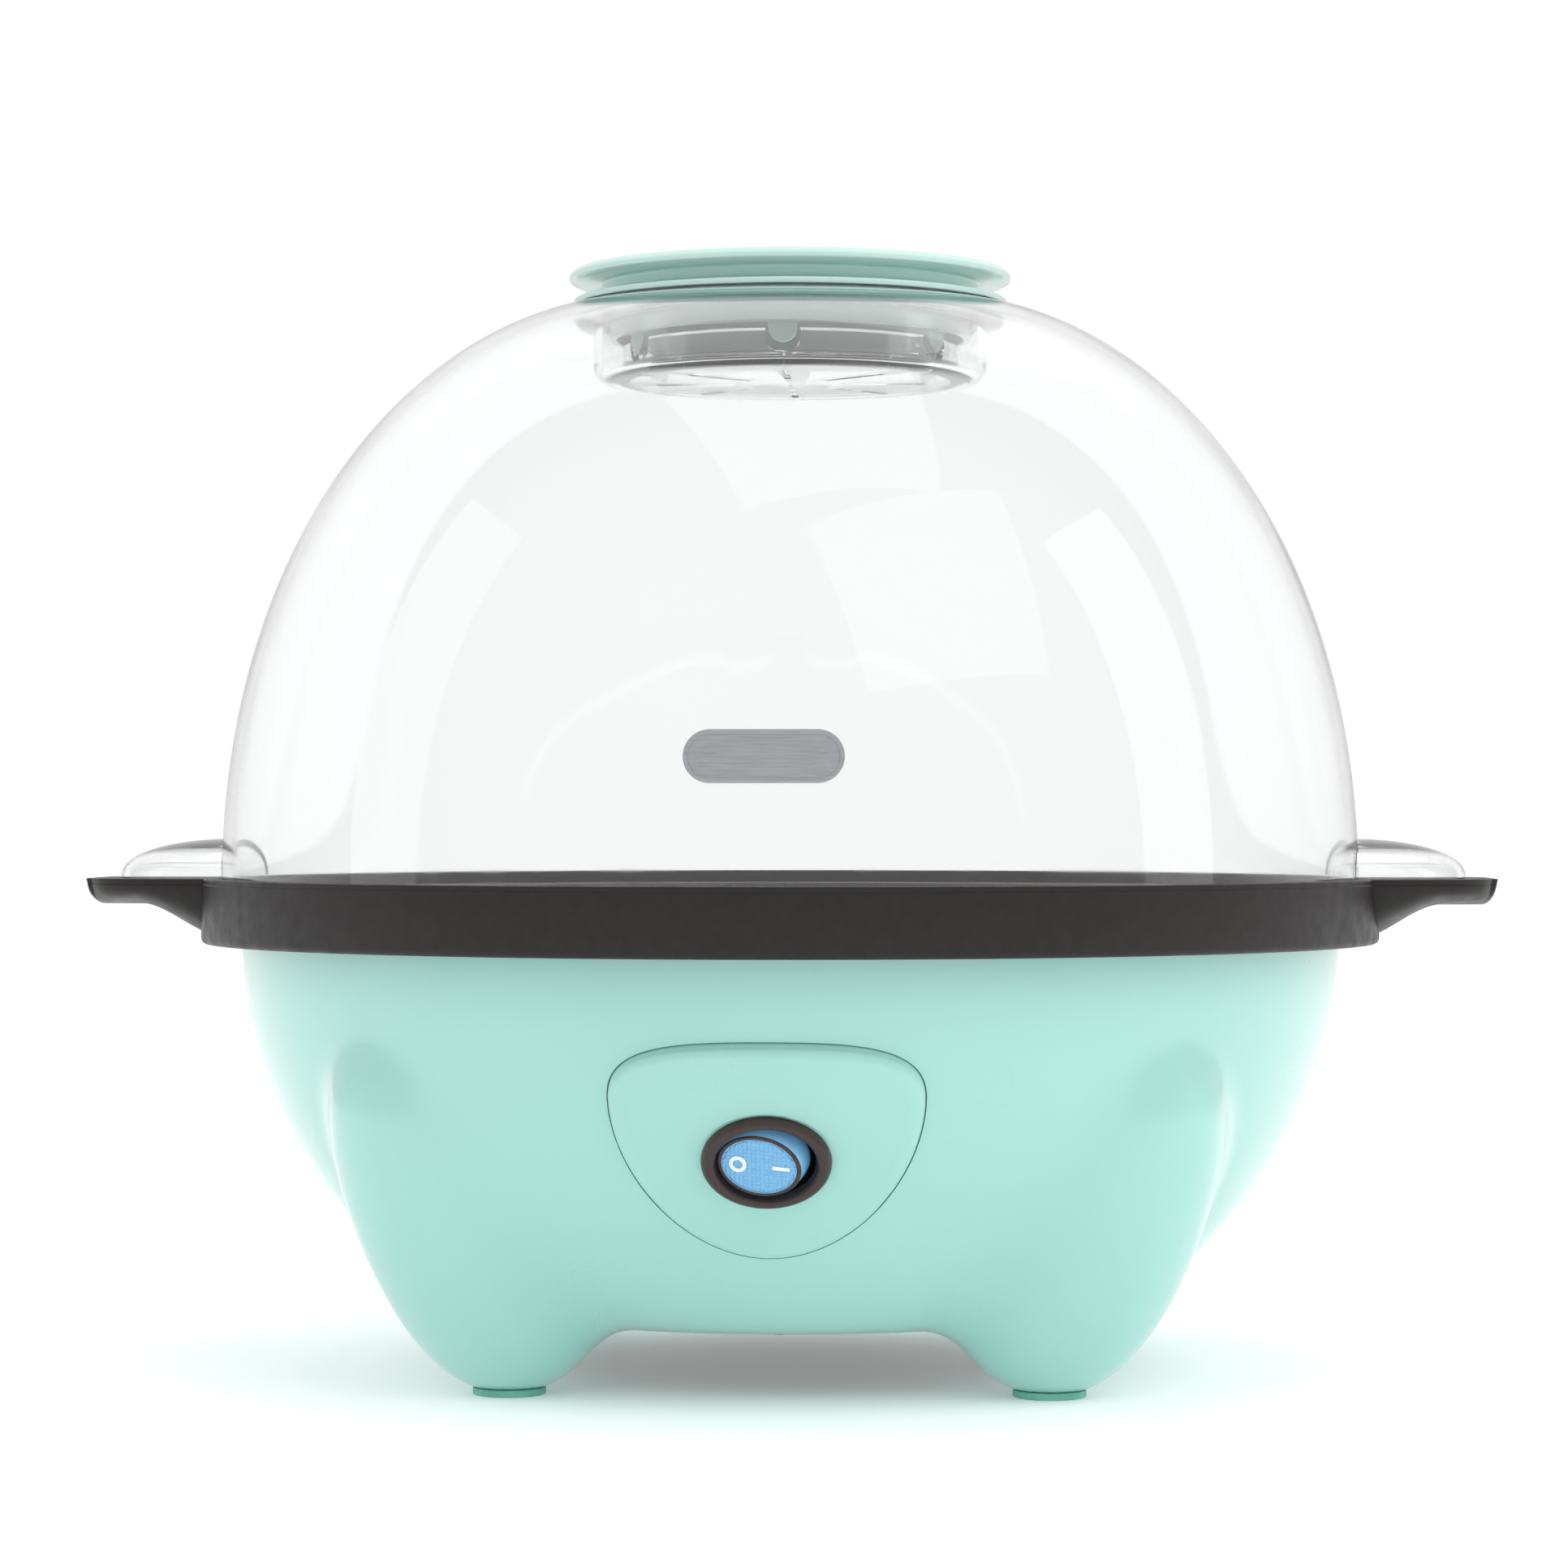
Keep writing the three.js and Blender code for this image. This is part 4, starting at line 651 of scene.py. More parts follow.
# ---------------------------------------------------------------- frame of the switch
# Its axes: along (X), up the slope, and out of the panel. The rocker's joint gives the slope and the pivot.
slope = Vector(rocker_joint["axis"]).normalized()
outward = Vector((1, 0, 0)).cross(slope)
ROCKER_PIVOT = 6 * MM  # below the panel's surface
switch_origin = Vector(rocker_joint["pos_m"]) + ROCKER_PIVOT * outward
on_switch = Matrix((
    (1, slope.x, outward.x, switch_origin.x),
    (0, slope.y, outward.y, switch_origin.y),
    (0, slope.z, outward.z, switch_origin.z),
    (0, 0, 0, 1),
))
SWITCH_OVAL = 0.79
switch_half = bezel_high.x
BEZEL_RIM = 3.5 * MM
tube_half = switch_half - BEZEL_RIM + 0.9 * MM
SEAT_DROP = 0.8 * MM
PANEL_OUT = 4 * MM
PANEL_LIFT = 3.1 * MM


def height_over_panel(x, s, shift):
    """How far out of the switch's plane the bowl's surface lies, once the bowl is moved by shift (y, z)."""
    low, high = np.full(x.shape, -0.03), np.full(x.shape, 0.012)
    for _ in range(34):
        middle = (low + high) / 2
        y = switch_origin.y + s * slope.y + middle * outward.y - shift[0]
        z = switch_origin.z + s * slope.z + middle * outward.z - shift[1]
        inside = bowl.at(np.hypot(x, y), z) < 0
        low, high = np.where(inside, middle, low), np.where(inside, high, middle)
    return (low + high) / 2


def panel_outline(count=176):
    """A shield: a broad arched top, widest above the switch, and sides that narrow to a round point."""
    half = panel_high.x
    top = 29 * MM
    bottom = 30.2 * MM
    widest = 0.47 * top
    right = [
        [(0, -bottom), (0.53 * half, -bottom), (half, -0.2 * bottom), (half, widest)],
        [(half, widest), (half, 0.88 * top), (0.6 * half, top), (0, top)],
    ]
    side = np.vstack([bezier(right[0], 80)[:-1], bezier(right[1], 80)])
    line = np.vstack([side[:-1], side[::-1][:-1] * (-1, 1)])
    line = np.vstack([line, line[:1]])
    length = np.concatenate([[0], np.cumsum(np.linalg.norm(np.diff(line, axis=0), axis=1))])
    at = np.linspace(0, length[-1], count, endpoint=False)
    return np.stack([np.interp(at, length, line[:, i]) for i in (0, 1)], 1)


def shrunk(outline, distance):
    """A closed outline moved inward, square to itself."""
    along = np.roll(outline, -1, 0) - np.roll(outline, 1, 0)
    along /= np.linalg.norm(along, axis=1)[:, None]
    return outline + distance * np.stack([-along[:, 1], along[:, 0]], 1)


def panel_mesh(grow, drop, top_lift, edge_round):
    """The panel between the moved bowl surface (plus top_lift) and the base's own surface less drop."""
    outline = shrunk(panel_outline(), -grow)
    insets = [edge_round * v for v in (0, 0.08, 0.3, 0.6, 1.0)] + [1.8 * edge_round + 0.4 * MM, 4 * MM]
    rings = [shrunk(outline, d) for d in insets]
    innermost = rings[-1]
    inner_shares = (0.82, 0.62, 0.4, 0.2, 0.05)
    rings += [innermost * share for share in inner_shares]
    insets += [edge_round] * len(inner_shares)
    skin, under = [], []
    for ring, inset in zip(rings, insets):
        x, s = ring.T
        top = height_over_panel(x, s, (-PANEL_OUT, PANEL_LIFT)) + top_lift
        bare = height_over_panel(x, s, (0, 0))
        low = bare - drop
        fall = 0
        if inset < edge_round:
            fall = edge_round - math.sqrt(edge_round ** 2 - (edge_round - inset) ** 2)
        top = np.maximum(top - fall, bare + 0.05 * MM)
        skin.append(np.stack([x, s, top], 1))
        under.append(np.stack([x, s, low], 1))
    verts, faces = loft_mesh([under[-1], under[6], under[0]] + skin)
    return placed(verts, on_switch), faces


def oval_tool(outline):
    return tool(*solid_at(turned_mesh(outline, 96, SWITCH_OVAL), on_switch))


def switch_hole():
    reach = tube_half + 0.4 * MM
    return oval_tool([(0, -40 * MM), (reach, -40 * MM), (reach, 14 * MM), (0, 14 * MM)])


# ---------------------------------------------------------------- base
def foot_pockets():
    pockets = []
    for number in range(1, 5):
        low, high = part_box(f"foot_pad_{number}")
        middle = (low + high) / 2
        radius = (high.x - low.x) / 2 + 0.5 * MM
        pockets.append(rod_tool(radius, (-0.01, PAD_TOP + GAP), moved(middle.x, middle.y)))
    return pockets


def make_base():
    margin = 3 * MM
    low = (-base_radius - margin, -base_radius - margin, -margin)
    high = (base_radius + margin, base_radius + margin, base_top + margin)
    step = 1.7 * MM
    outside = surface_net(base_distance, low, high, step)
    base = new_piece("base_shell", outside, "base", "mint_plastic", "base_housing", 55)
    inner = moved_inward(wall_curve, BASE_WALL)
    floor = underside + 5 * MM
    inner = inner[inner[:, 1] > floor + 1 * MM]
    above = base_top + 0.01
    cavity = [(0, above), (inner[0][0], above), *inner, (inner[-1][0] - 2 * MM, floor), (0, floor)]
    opening = cover_radius + GAP
    ledge = cover_radius - 8 * MM
    bevel = 0.6 * MM
    cover_seat = [(0, 0), (opening + bevel, 0), (opening + bevel, underside), (opening, underside + bevel),
                  (opening, cover_high.z), (ledge, cover_high.z), (ledge, floor + 2 * MM), (0, floor + 2 * MM)]
    carve(base, [
        tool(*turned_mesh(cavity, 160)),
        tool(*turned_mesh(cover_seat, 160)),
        rod_tool(GLAND_BODY + GAP, (-0.05, 0.02), on_gland),
        *foot_pockets(),
        switch_hole(),
        tool(*panel_mesh(0.3 * MM, 1.3 * MM, 30 * MM, 0.01 * MM)),
    ], smooth=35)


def make_panel():
    shield = panel_mesh(0, 1.0 * MM, 0, 2.2 * MM)
    panel = new_piece("switch_shield", shield, "base", "mint_plastic", "switch_panel", 55)
    rim = switch_half + 0.7 * MM
    recess = oval_tool([(0, -SEAT_DROP), (rim, -SEAT_DROP), (rim, -0.1 * MM), (rim + 0.15 * MM, 0.1 * MM),
                        (rim + 0.6 * MM, 0.4 * MM), (rim + 6 * MM, 6 * MM), (0, 6 * MM)])
    carve(panel, [switch_hole(), recess], smooth=40)


def make_bottom_cover():
    low, high = cover_low.z, underside + 2.2 * MM
    outline = rounded([(0, low), (cover_radius, low, 0.8 * MM), (cover_radius, high), (0, high)])
    cover = new_piece("bottom_plate", turned_mesh(outline, 128), "base", "charcoal_plastic", "bottom_cover")
    screw_circle = cover_radius - 4 * MM
    vent_pitch = 9 * MM
    vent = prism(round_slot(0, 20 * MM, 1.75 * MM), (low - 0.005, high + 0.005))
    tools = [tool(*solid_at(vent, moved(0, row * vent_pitch))) for row in range(-2, 3)]
    for i in range(4):
        tools.append(rod_tool(1.9 * MM, (low - 0.01, high + 0.01), polar(screw_circle, i * math.pi / 2), 32))
    carve(cover, tools, smooth=35)


def make_foot(number):
    low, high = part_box(f"foot_pad_{number}")
    radius = (high.x - low.x) / 2
    middle = (low + high) / 2
    stem = 3 * MM
    head = high.z - 2.4 * MM
    groove, soft = 0.35 * MM, 0.2 * MM
    outline = rounded([
        (0, 0), (radius - 2.4 * MM, 0), (radius - 2 * MM, groove, soft), (radius - 1.4 * MM, groove, soft),
        (radius - 1 * MM, 0), (radius, 0, 0.8 * MM), (radius, PAD_TOP, 0.4 * MM), (stem, PAD_TOP),
        (stem, head), (stem + 1 * MM, head, soft), (stem - 0.6 * MM, high.z, 0.3 * MM), (0, high.z)])
    pad = solid_at(turned_mesh(outline, 64), moved(middle.x, middle.y))
    new_piece(f"foot_{number}", pad, "base", "rubber_foot", f"foot_pad_{number}", material=PAD_RUBBER)


def make_gland():
    bore, body, flange, soft = 3.7 * MM, GLAND_BODY, GLAND_FLANGE, 0.3 * MM
    outline = rounded([
        (bore, -14 * MM), (body, -14 * MM), (body, GAP), (flange, GAP), (flange, 2.6 * MM, 0.8 * MM),
        (body + 0.8 * MM, 3.4 * MM, 0.6 * MM), (body + 0.2 * MM, 5 * MM, soft),
        (body - 0.6 * MM, 5.4 * MM, soft), (body - 0.6 * MM, 6.6 * MM, soft), (body, 7 * MM, soft),
        (body - 0.4 * MM, 9 * MM, soft),
        (body - 1 * MM, 9.4 * MM, soft), (body - 1 * MM, 10.4 * MM, soft), (body - 0.6 * MM, 10.8 * MM, soft),
        (bore + 1.8 * MM, GLAND_REACH, 0.7 * MM), (bore, GLAND_REACH, 0.4 * MM)], 3)
    grommet = solid_at(turned_mesh(outline, 64), on_gland)
    new_piece("cord_grommet", grommet, "base", "charcoal_plastic", "cord_gland")


# ---------------------------------------------------------------- switch
def make_bezel():
    half, open_half = switch_half, switch_half - BEZEL_RIM
    seat = GAP - SEAT_DROP
    top = 2.3 * MM
    back = -16.5 * MM
    crown = bezier([(half, seat), (half, top * 0.85), (half - 1.3 * MM, top), (open_half + 0.9 * MM, top),
                    (open_half, top * 0.9), (open_half, 0)], 18)
    outline = [(0, back), (tube_half, back), (tube_half, seat), (half - 0.2 * MM, seat), *crown,
               (open_half - 0.3 * MM, -0.5 * MM), (open_half, -1 * MM), (open_half, back + 1.5 * MM),
               (0, back + 1.5 * MM)]
    surround = solid_at(turned_mesh(outline, 128, SWITCH_OVAL), on_switch)
    bezel = new_piece("switch_surround", surround, "base", "charcoal_plastic", "switch_bezel",
                      material=SWITCH_BROWN)
    thick, width = 0.7 * MM, 3.45 * MM
    depth = (back - 1 * MM, back + 3 * MM)
    slots = [box_tool((x - thick, x + thick), (-width, width), depth, on_switch) for x in (-5 * MM, 5 * MM)]
    carve(bezel, slots, smooth=40)


ROCKER_TILT = math.radians(12)
on_rocker = on_switch @ moved(0, 0, -ROCKER_PIVOT) @ Matrix.Rotation(-ROCKER_TILT, 4, "Y")
ROCKER_RISE = 8 * MM
rocker_half = switch_half - BEZEL_RIM - 1.1 * MM
face_half = rocker_half - 0.8 * MM


def oval_ring(half, z, count=96):
    a = np.arange(count) * 2 * math.pi / count
    return np.stack([half * np.cos(a), SWITCH_OVAL * half * np.sin(a), np.full(count, z)], 1)


def make_rocker():
    """The key's body, closed by a plain oval top a little under the textured face."""
    sides = [(rocker_half - 3.9 * MM, -4.5 * MM), (rocker_half, 1.5 * MM), (rocker_half, 3 * MM),
             (face_half + 0.1 * MM, ROCKER_RISE - 0.5 * MM), (face_half - 0.15 * MM, ROCKER_RISE - 0.12 * MM),
             (face_half - 0.5 * MM, ROCKER_RISE), (face_half - 1.1 * MM, ROCKER_RISE),
             (face_half - 1.25 * MM, ROCKER_RISE - 0.35 * MM)]
    key = solid_at(loft_mesh([oval_ring(half, z) for half, z in sides]), on_rocker)
    new_piece("rocker_key", key, "rocker", "rocker_blue", "switch_rocker", 35)


def make_rocker_frame():
    """The thin dark rim round the key's face."""
    outer, inner = face_half + 0.12 * MM, face_half - 1.0 * MM
    section = [(inner, -0.3 * MM), (inner, 0.02 * MM), (inner + 0.3 * MM, 0.1 * MM),
               (outer - 0.3 * MM, 0.08 * MM), (outer, -0.25 * MM), (outer - 0.2 * MM, -0.6 * MM)]
    rings = [oval_ring(half, ROCKER_RISE + z) for half, z in section]
    rim = placed(np.concatenate(rings), on_rocker), grid_faces(len(rings), len(rings[0]), wrap_rows=True)
    new_piece("rocker_rim", rim, "rocker", "charcoal_plastic", material=SWITCH_BROWN)


def make_rocker_face():
    """The key's face: rows of small pyramids, held inside the rim."""
    pitch = 1.05 * MM
    height = 0.42 * MM
    level = ROCKER_RISE - 0.3 * MM
    reach = face_half - 1.05 * MM
    half_steps = int(reach / (pitch / 2))
    verts, faces, number = [], [], {}
    for i in range(-half_steps, half_steps + 1):
        for j in range(-half_steps, half_steps + 1):
            x, y = i * pitch / 2, j * pitch / 2
            if (x / reach) ** 2 + (y / (reach * SWITCH_OVAL)) ** 2 > 0.985:
                continue
            number[i, j] = len(verts)
            verts.append((x, y, level + (height if i % 2 and j % 2 else 0)))
    for (i, j) in list(number):
        cell = [(i, j), (i + 1, j), (i + 1, j + 1), (i, j + 1)]
        if not all(c in number for c in cell):
            continue
        peak = next(k for k, c in enumerate(cell) if c[0] % 2 and c[1] % 2)
        ring = [number[c] for c in cell]
        ring = ring[peak:] + ring[:peak]
        faces.append((ring[0], ring[1], ring[2]))
        faces.append((ring[0], ring[2], ring[3]))
    face = new_piece("rocker_pad", (placed(verts, on_rocker), faces), "rocker", "rocker_blue", smooth=5)
    solid = face.modifiers.new("thickness", "SOLIDIFY")
    solid.thickness = 0.2 * MM
    solid.offset = -1


def make_marks():
    """White O and I, standing a little over the pyramids."""
    low, high = ROCKER_RISE - 0.12 * MM, ROCKER_RISE + 0.05 * MM
    inner, outer, soft = 1.2 * MM, 2.15 * MM, 0.06 * MM
    ring = turned_mesh(rounded([(inner, low), (outer, low), (outer, high, soft), (inner, high, soft)], 2), 48)
    x, y, corner = 2.1 * MM, 0.45 * MM, 0.15 * MM
    bar = prism(rounded([(-x, -y, corner), (x, -y, corner), (x, y, corner), (-x, y, corner)], 3), (low, high))
    for name, mark, place in (("mark_off", ring, -5.2 * MM), ("mark_on", bar, 5.4 * MM)):
        solid = solid_at(mark, on_rocker @ moved(place, 0))
        new_piece(name, solid, "rocker", "nylon", material=MARK_WHITE)


# ---------------------------------------------------------------- collar with its handles
COLLAR_WALL = 3.7 * MM
LIP = 1.5 * MM  # height of the narrow band along the top edge
LIP_IN = 0.35 * MM
SEAT_DEPTH = 2.6 * MM
WEB = 2.6 * MM
seat_z = ring_top - SEAT_DEPTH
web_bottom = seat_z - 2 * WEB + 0.2 * MM
ledge_z = web_bottom + WEB
HANDLE_WIDTH = 67.4 * MM
HANDLE_TIP = 6.9 * MM
HANDLE_ROOT = 15.3 * MM
HANDLE_SLANT = 2.0 * MM  # the tip's lower edge is set back by this
HANDLE_DROP = 0.1 * MM  # from the collar's top to the handles' top


def handle_section(x, half, depth, inset, slant):
    """One U-shaped section: a flat top, a narrow stepped lip, and a round underside."""
    edge = half - inset
    band = [(edge - LIP_IN, 0), (edge - LIP_IN, LIP), (edge, LIP + 0.12 * MM)]
    start = LIP + 0.2 * MM
    bluntness = 0.8
    under = []
    for angle in np.linspace(0, math.pi, 41):
        across = math.copysign(abs(math.cos(angle)) ** bluntness, math.cos(angle))
        down = math.sin(angle) ** bluntness
        under.append((edge * across, start + (depth - inset - start) * down))
    points = band + under + [(-y, down) for y, down in band[::-1]]
    return [(x - slant * down / HANDLE_TIP, y, ring_top - HANDLE_DROP - down) for y, down in points]


def handle_mesh():
    start = ring_radius - COLLAR_WALL - 9 * MM
    reach = ring_high.x - start
    end_round = 1.3 * MM
    rings = []
    bluntness = 3.2
    for t in np.linspace(0.03, 1 - end_round / reach, 44):
        half = HANDLE_WIDTH / 2 * (1 - (0.985 * t) ** bluntness) ** (1 / bluntness)
        swell = max(0, 1 - max(0, t - 0.25) / 0.42)
        swell = swell * swell * (3 - 2 * swell) * 0.55 + swell ** 2 * 0.45
        depth = HANDLE_TIP + (HANDLE_ROOT - HANDLE_TIP) * swell
        slant = HANDLE_SLANT * max(0, (t - 0.7) / 0.3) ** 2
        rings.append(handle_section(start + t * reach, half, depth, 0, slant))
    last_x, last_half, last_depth = start + reach - end_round, half, depth
    for turn in np.radians((18, 36, 54, 72, 86)):
        inset = end_round * (1 - math.cos(turn))
        rings.append(handle_section(last_x + end_round * math.sin(turn), last_half, last_depth, inset, slant))
    return loft_mesh(rings)


def make_collar():
    out, top, low = ring_radius, ring_top, collar_low
    dome_seat, dish_seat = dome_radius + 1 * MM, dish_radius + 0.6 * MM
    opening = dish_radius - 10.7 * MM
    outline = rounded([
        (out - COLLAR_WALL, low, 0.6 * MM), (out, low, 1.6 * MM), (out, top - LIP, 0.15 * MM),
        (out - LIP_IN, top - LIP + 0.1 * MM, 0.1 * MM), (out - LIP_IN, top, 0.5 * MM),
        (dome_seat, top, 0.5 * MM), (dome_seat, seat_z), (dish_seat, seat_z), (dish_seat, ledge_z),
        (opening, ledge_z, 0.4 * MM), (opening, web_bottom, 0.4 * MM), (out - COLLAR_WALL, web_bottom)], 4)
    collar = new_piece("collar", turned_mesh(outline, 192), "base", "charcoal_plastic", "rim_ring")
    for angle in (0, math.pi):
        handle = tool(*handle_mesh())
        carve(handle, [rod_tool(out - COLLAR_WALL / 2, (0, 0.3), segments=192)])
        handle.data.transform(turn_z(angle))
        carve(collar, [handle], "UNION")
    smooth_up_to(collar, 38)


# ---------------------------------------------------------------- dish and stirrer
DISH_FLOOR = ring_top - 32 * MM
DISH_FLAT = dish_radius - 54 * MM  # radius of the flat middle


def make_dish():
    side_wall, floor_wall = 2.2 * MM, 2.5 * MM
    under = DISH_FLOOR - floor_wall
    hole = 6.5 * MM
    across = dish_radius - 13.5 * MM - DISH_FLAT
    rim = ledge_z - 1 * MM
    down = rim - DISH_FLOOR
    flange = ledge_z + GAP
    flange_top = flange + 1.3 * MM
    turn = np.linspace(0, math.pi / 2, 22)
    inside, outside = (
        [(DISH_FLAT + (across + wall) * math.sin(a), rim - (down + deeper) * math.cos(a)) for a in turn]
        for wall, deeper in ((0, 0), (side_wall, floor_wall)))
    edge = inside[-1][0]
    lip = rounded([(edge, rim), (edge + 0.8 * MM, flange_top, 0.8 * MM), (dish_radius, flange_top, 0.5 * MM),
                   (dish_radius, flange, 0.4 * MM), (outside[-1][0], flange)], 4)
    outline = [(hole, DISH_FLOOR), *inside[:-1], *lip, *outside[::-1], (hole, under)]
    dish = new_piece("dish", turned_mesh(outline, 160), "base", "nonstick", "heating_plate")
    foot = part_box("heat_shield")[0].z + 0.8 * MM + GAP
    screw_low, screw_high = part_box("plate_screw_1")
    circle = ((screw_low + screw_high) / 2).xy.length
    bore, boss_radius = 1.8 * MM, 4.5 * MM
    bore_top, boss_top = foot + 12 * MM, under + 1 * MM
    boss = turned_mesh([(bore, foot), (boss_radius, foot), (boss_radius, boss_top), (0, boss_top),
                        (0, bore_top), (bore, bore_top)], 32)
    bosses = [tool(*solid_at(boss, polar(circle, angle))) for angle in np.radians((90, 210, 330))]
    carve(dish, bosses, "UNION", smooth=40)


def make_stirrer():
    shaft = 3.5 * MM
    hub_radius, foot, top = hub_high.x, hub_low.z, hub_high.z
    outline = rounded([
        (shaft + GAP, foot), (hub_radius, foot, 0.8 * MM), (hub_radius, foot + 8.5 * MM, 1.5 * MM),
        (hub_radius - 2.5 * MM, top, 1 * MM), (shaft + GAP, top)], 4)
    hub = new_piece("stirrer_hub", turned_mesh(outline, 64), "stirrer", "charcoal_plastic", "stir_hub")
    wire_radius = 2 * MM
    side = shaft + wire_radius + GAP
    wire_z = foot + 5 * MM
    across = moved(0, side, wire_z) @ Matrix.Rotation(math.pi / 2, 4, "Y")
    carve(hub, [rod_tool(wire_radius + GAP, (-0.02, 0.02), across, 32)], smooth=40)

    flat = DISH_FLAT
    low = DISH_FLOOR + 1.3 * MM + wire_radius
    reach = flat + 26 * MM
    arm = [(hub_radius + 1 * MM, side, wire_z), (hub_radius + 8 * MM, side, wire_z - 0.3 * MM),
           (hub_radius + 17 * MM, side + 1 * MM, low), (flat * 0.6, side + 4 * MM, low),
           (flat - 6 * MM, side + 10 * MM, low + 0.5 * MM), (flat + 12 * MM, side + 16 * MM, low + 5 * MM),
           (reach - 4 * MM, side + 19 * MM, low + 12 * MM)]
    other = [(-x, 2 * side - y, z) for x, y, z in arm][::-1]
    path = through([*other, (0, side, wire_z), *arm], 220)
    new_piece("stirring_wire", tube_mesh(path, wire_radius), "stirrer", "bare_steel", "stir_wire", 60)

    low, high, radius = nut_low.z, nut_high.z, 7 * MM
    outline = rounded([
        (0, low), (radius, low, 0.4 * MM), (radius, low + 1.5 * MM, 0.5 * MM),
        (radius - 1 * MM, high - 1.6 * MM, 1.2 * MM), (radius - 3.5 * MM, high, 0.8 * MM), (0, high)], 4)
    nut = new_piece("stirrer_nut", turned_mesh(outline, 96), "stirrer", "charcoal_plastic", "stir_nut")
    flutes = []
    for i in range(12):
        at = turn_z(math.radians(30 * i)) @ moved(radius + 0.35 * MM, 0)
        flutes.append(rod_tool(0.9 * MM, (low + 1.2 * MM, high + 0.01), at, 16))
    bore = rod_tool(shaft + GAP, (low - 0.01, high - 2.3 * MM), segments=48)
    carve(nut, [*flutes, bore], smooth=35)


# ---------------------------------------------------------------- dome
DOME_WALL = 2.4 * MM
dome_height = dome_top - dome_foot
WELL_RIM = 57 * MM
WELL_RADIUS = 52.4 * MM
WELL_DEPTH = 20 * MM
WELL_WALL = 2.2 * MM
WELL_COLLAR = 43.6 * MM
COLLAR_HEIGHT = 8 * MM
TAB_WIDTH = 7.4 * MM
dome_side = bezier([(dome_radius, dome_foot), (dome_radius, dome_foot + 0.5975 * dome_height),
                    (dome_radius * 0.672, dome_foot + 0.948 * dome_height), (WELL_RIM, dome_top)], 64)
tab_angles = [math.pi / 6 + i * math.pi / 3 for i in range(6)]
well_floor = dome_top - WELL_DEPTH


def tongue_tool(reach, half_width, low, high, angle):
    """An upright tongue across a wall, its bottom round: the cap's tabs and the dome's slots for them."""
    points = [(half_width, high), (-half_width, high)]
    points += [(-half_width * math.cos(a), low + half_width - half_width * math.sin(a))
               for a in np.linspace(0, math.pi, 15)]
    tongue = loft_mesh([[(x, y, z) for y, z in points] for x in reach])
    return tool(*solid_at(tongue, turn_z(angle)))


def wing_mesh(inset):
    """A blunt egg over the handle, outside for inset 0."""
    long = dome_high.x - dome_radius + 1 * MM - inset
    wide = 29 * MM - inset
    tall = 10 * MM - inset
    blunt = 2 / 2.25
    v = np.arange(48) * 2 * math.pi / 48
    along = np.copysign(np.abs(np.cos(v)) ** blunt, np.cos(v))
    rings = []
    for u in np.linspace(-math.pi / 2, math.pi / 2, 28)[1:-1]:
        up = math.copysign(abs(math.sin(u)) ** blunt, u)
        rings.append(np.stack([dome_radius - 1 * MM + long * math.cos(u) * along,
                               wide * math.cos(u) * np.sin(v),
                               np.full(48, ring_top + GAP + tall * up)], 1))
    return loft_mesh(rings)


def make_dome():
    inner = moved_inward(dome_side, -DOME_WALL)[::-1]
    inner = inner[inner[:, 1] < dome_top - DOME_WALL]
    inner = inner[inner[:, 0] > WELL_RADIUS + 1.5 * MM]
    shelf = well_floor + WELL_WALL
    collar_out, collar_in = WELL_COLLAR + 1 * MM, WELL_COLLAR - 1 * MM
    collar_top = shelf + COLLAR_HEIGHT
    well_in = WELL_RADIUS - WELL_WALL
    soft = 0.8 * MM
    top_edge = rounded([
        (WELL_RIM, dome_top - 0.5 * MM), (WELL_RIM - 0.6 * MM, dome_top, soft),
        (well_in, dome_top, 1.2 * MM), (well_in, shelf, 3.5 * MM), (collar_out, shelf, soft),
        (collar_out, collar_top, soft), (collar_in, collar_top, soft), (collar_in, shelf, 1 * MM)], 5)
    under = rounded([(0, shelf), (0, well_floor), (WELL_RADIUS, well_floor, 5.5 * MM),
                     (WELL_RADIUS, dome_top - 1.8 * MM - DOME_WALL, 1.8 * MM),
                     (inner[0][0], inner[0][1])], 6)
    outline = [*dome_side[:-1], *top_edge, *under[:-1], *inner[:-1], (dome_radius - DOME_WALL, dome_foot)]
    shell = turned_mesh(outline, 192)
    dome = new_piece("clear_dome", shell, "dome", "clear_plastic", "dome_cover", 30)
    across_collar = (collar_in - 2 * MM, collar_out + 2 * MM)
    tools = [tongue_tool(across_collar, TAB_WIDTH / 2 + 0.7 * MM, shelf + 1.4 * MM, collar_top + 0.005, angle)
             for angle in tab_angles]
    vent = prism(round_slot(25 * MM, 11 * MM, 0.9 * MM), (well_floor - 0.003, well_floor + 0.006))
    tools += [tool(*solid_at(vent, turn_z(i * math.pi / 4))) for i in range(8)]
    carve(dome, tools)
    span = 0.4
    for angle in (0, math.pi):
        wing = tool(*wing_mesh(0))
        carve(wing, [
            tool(*wing_mesh(DOME_WALL * 0.8)),
            box_tool((-span, span), (-span, span), (0, ring_top + GAP)),
            rod_tool(dome_radius - DOME_WALL / 2, (0, span), segments=192),
        ])
        wing.data.transform(turn_z(angle))
        carve(dome, [wing], "UNION")
    smooth_up_to(dome, 32)


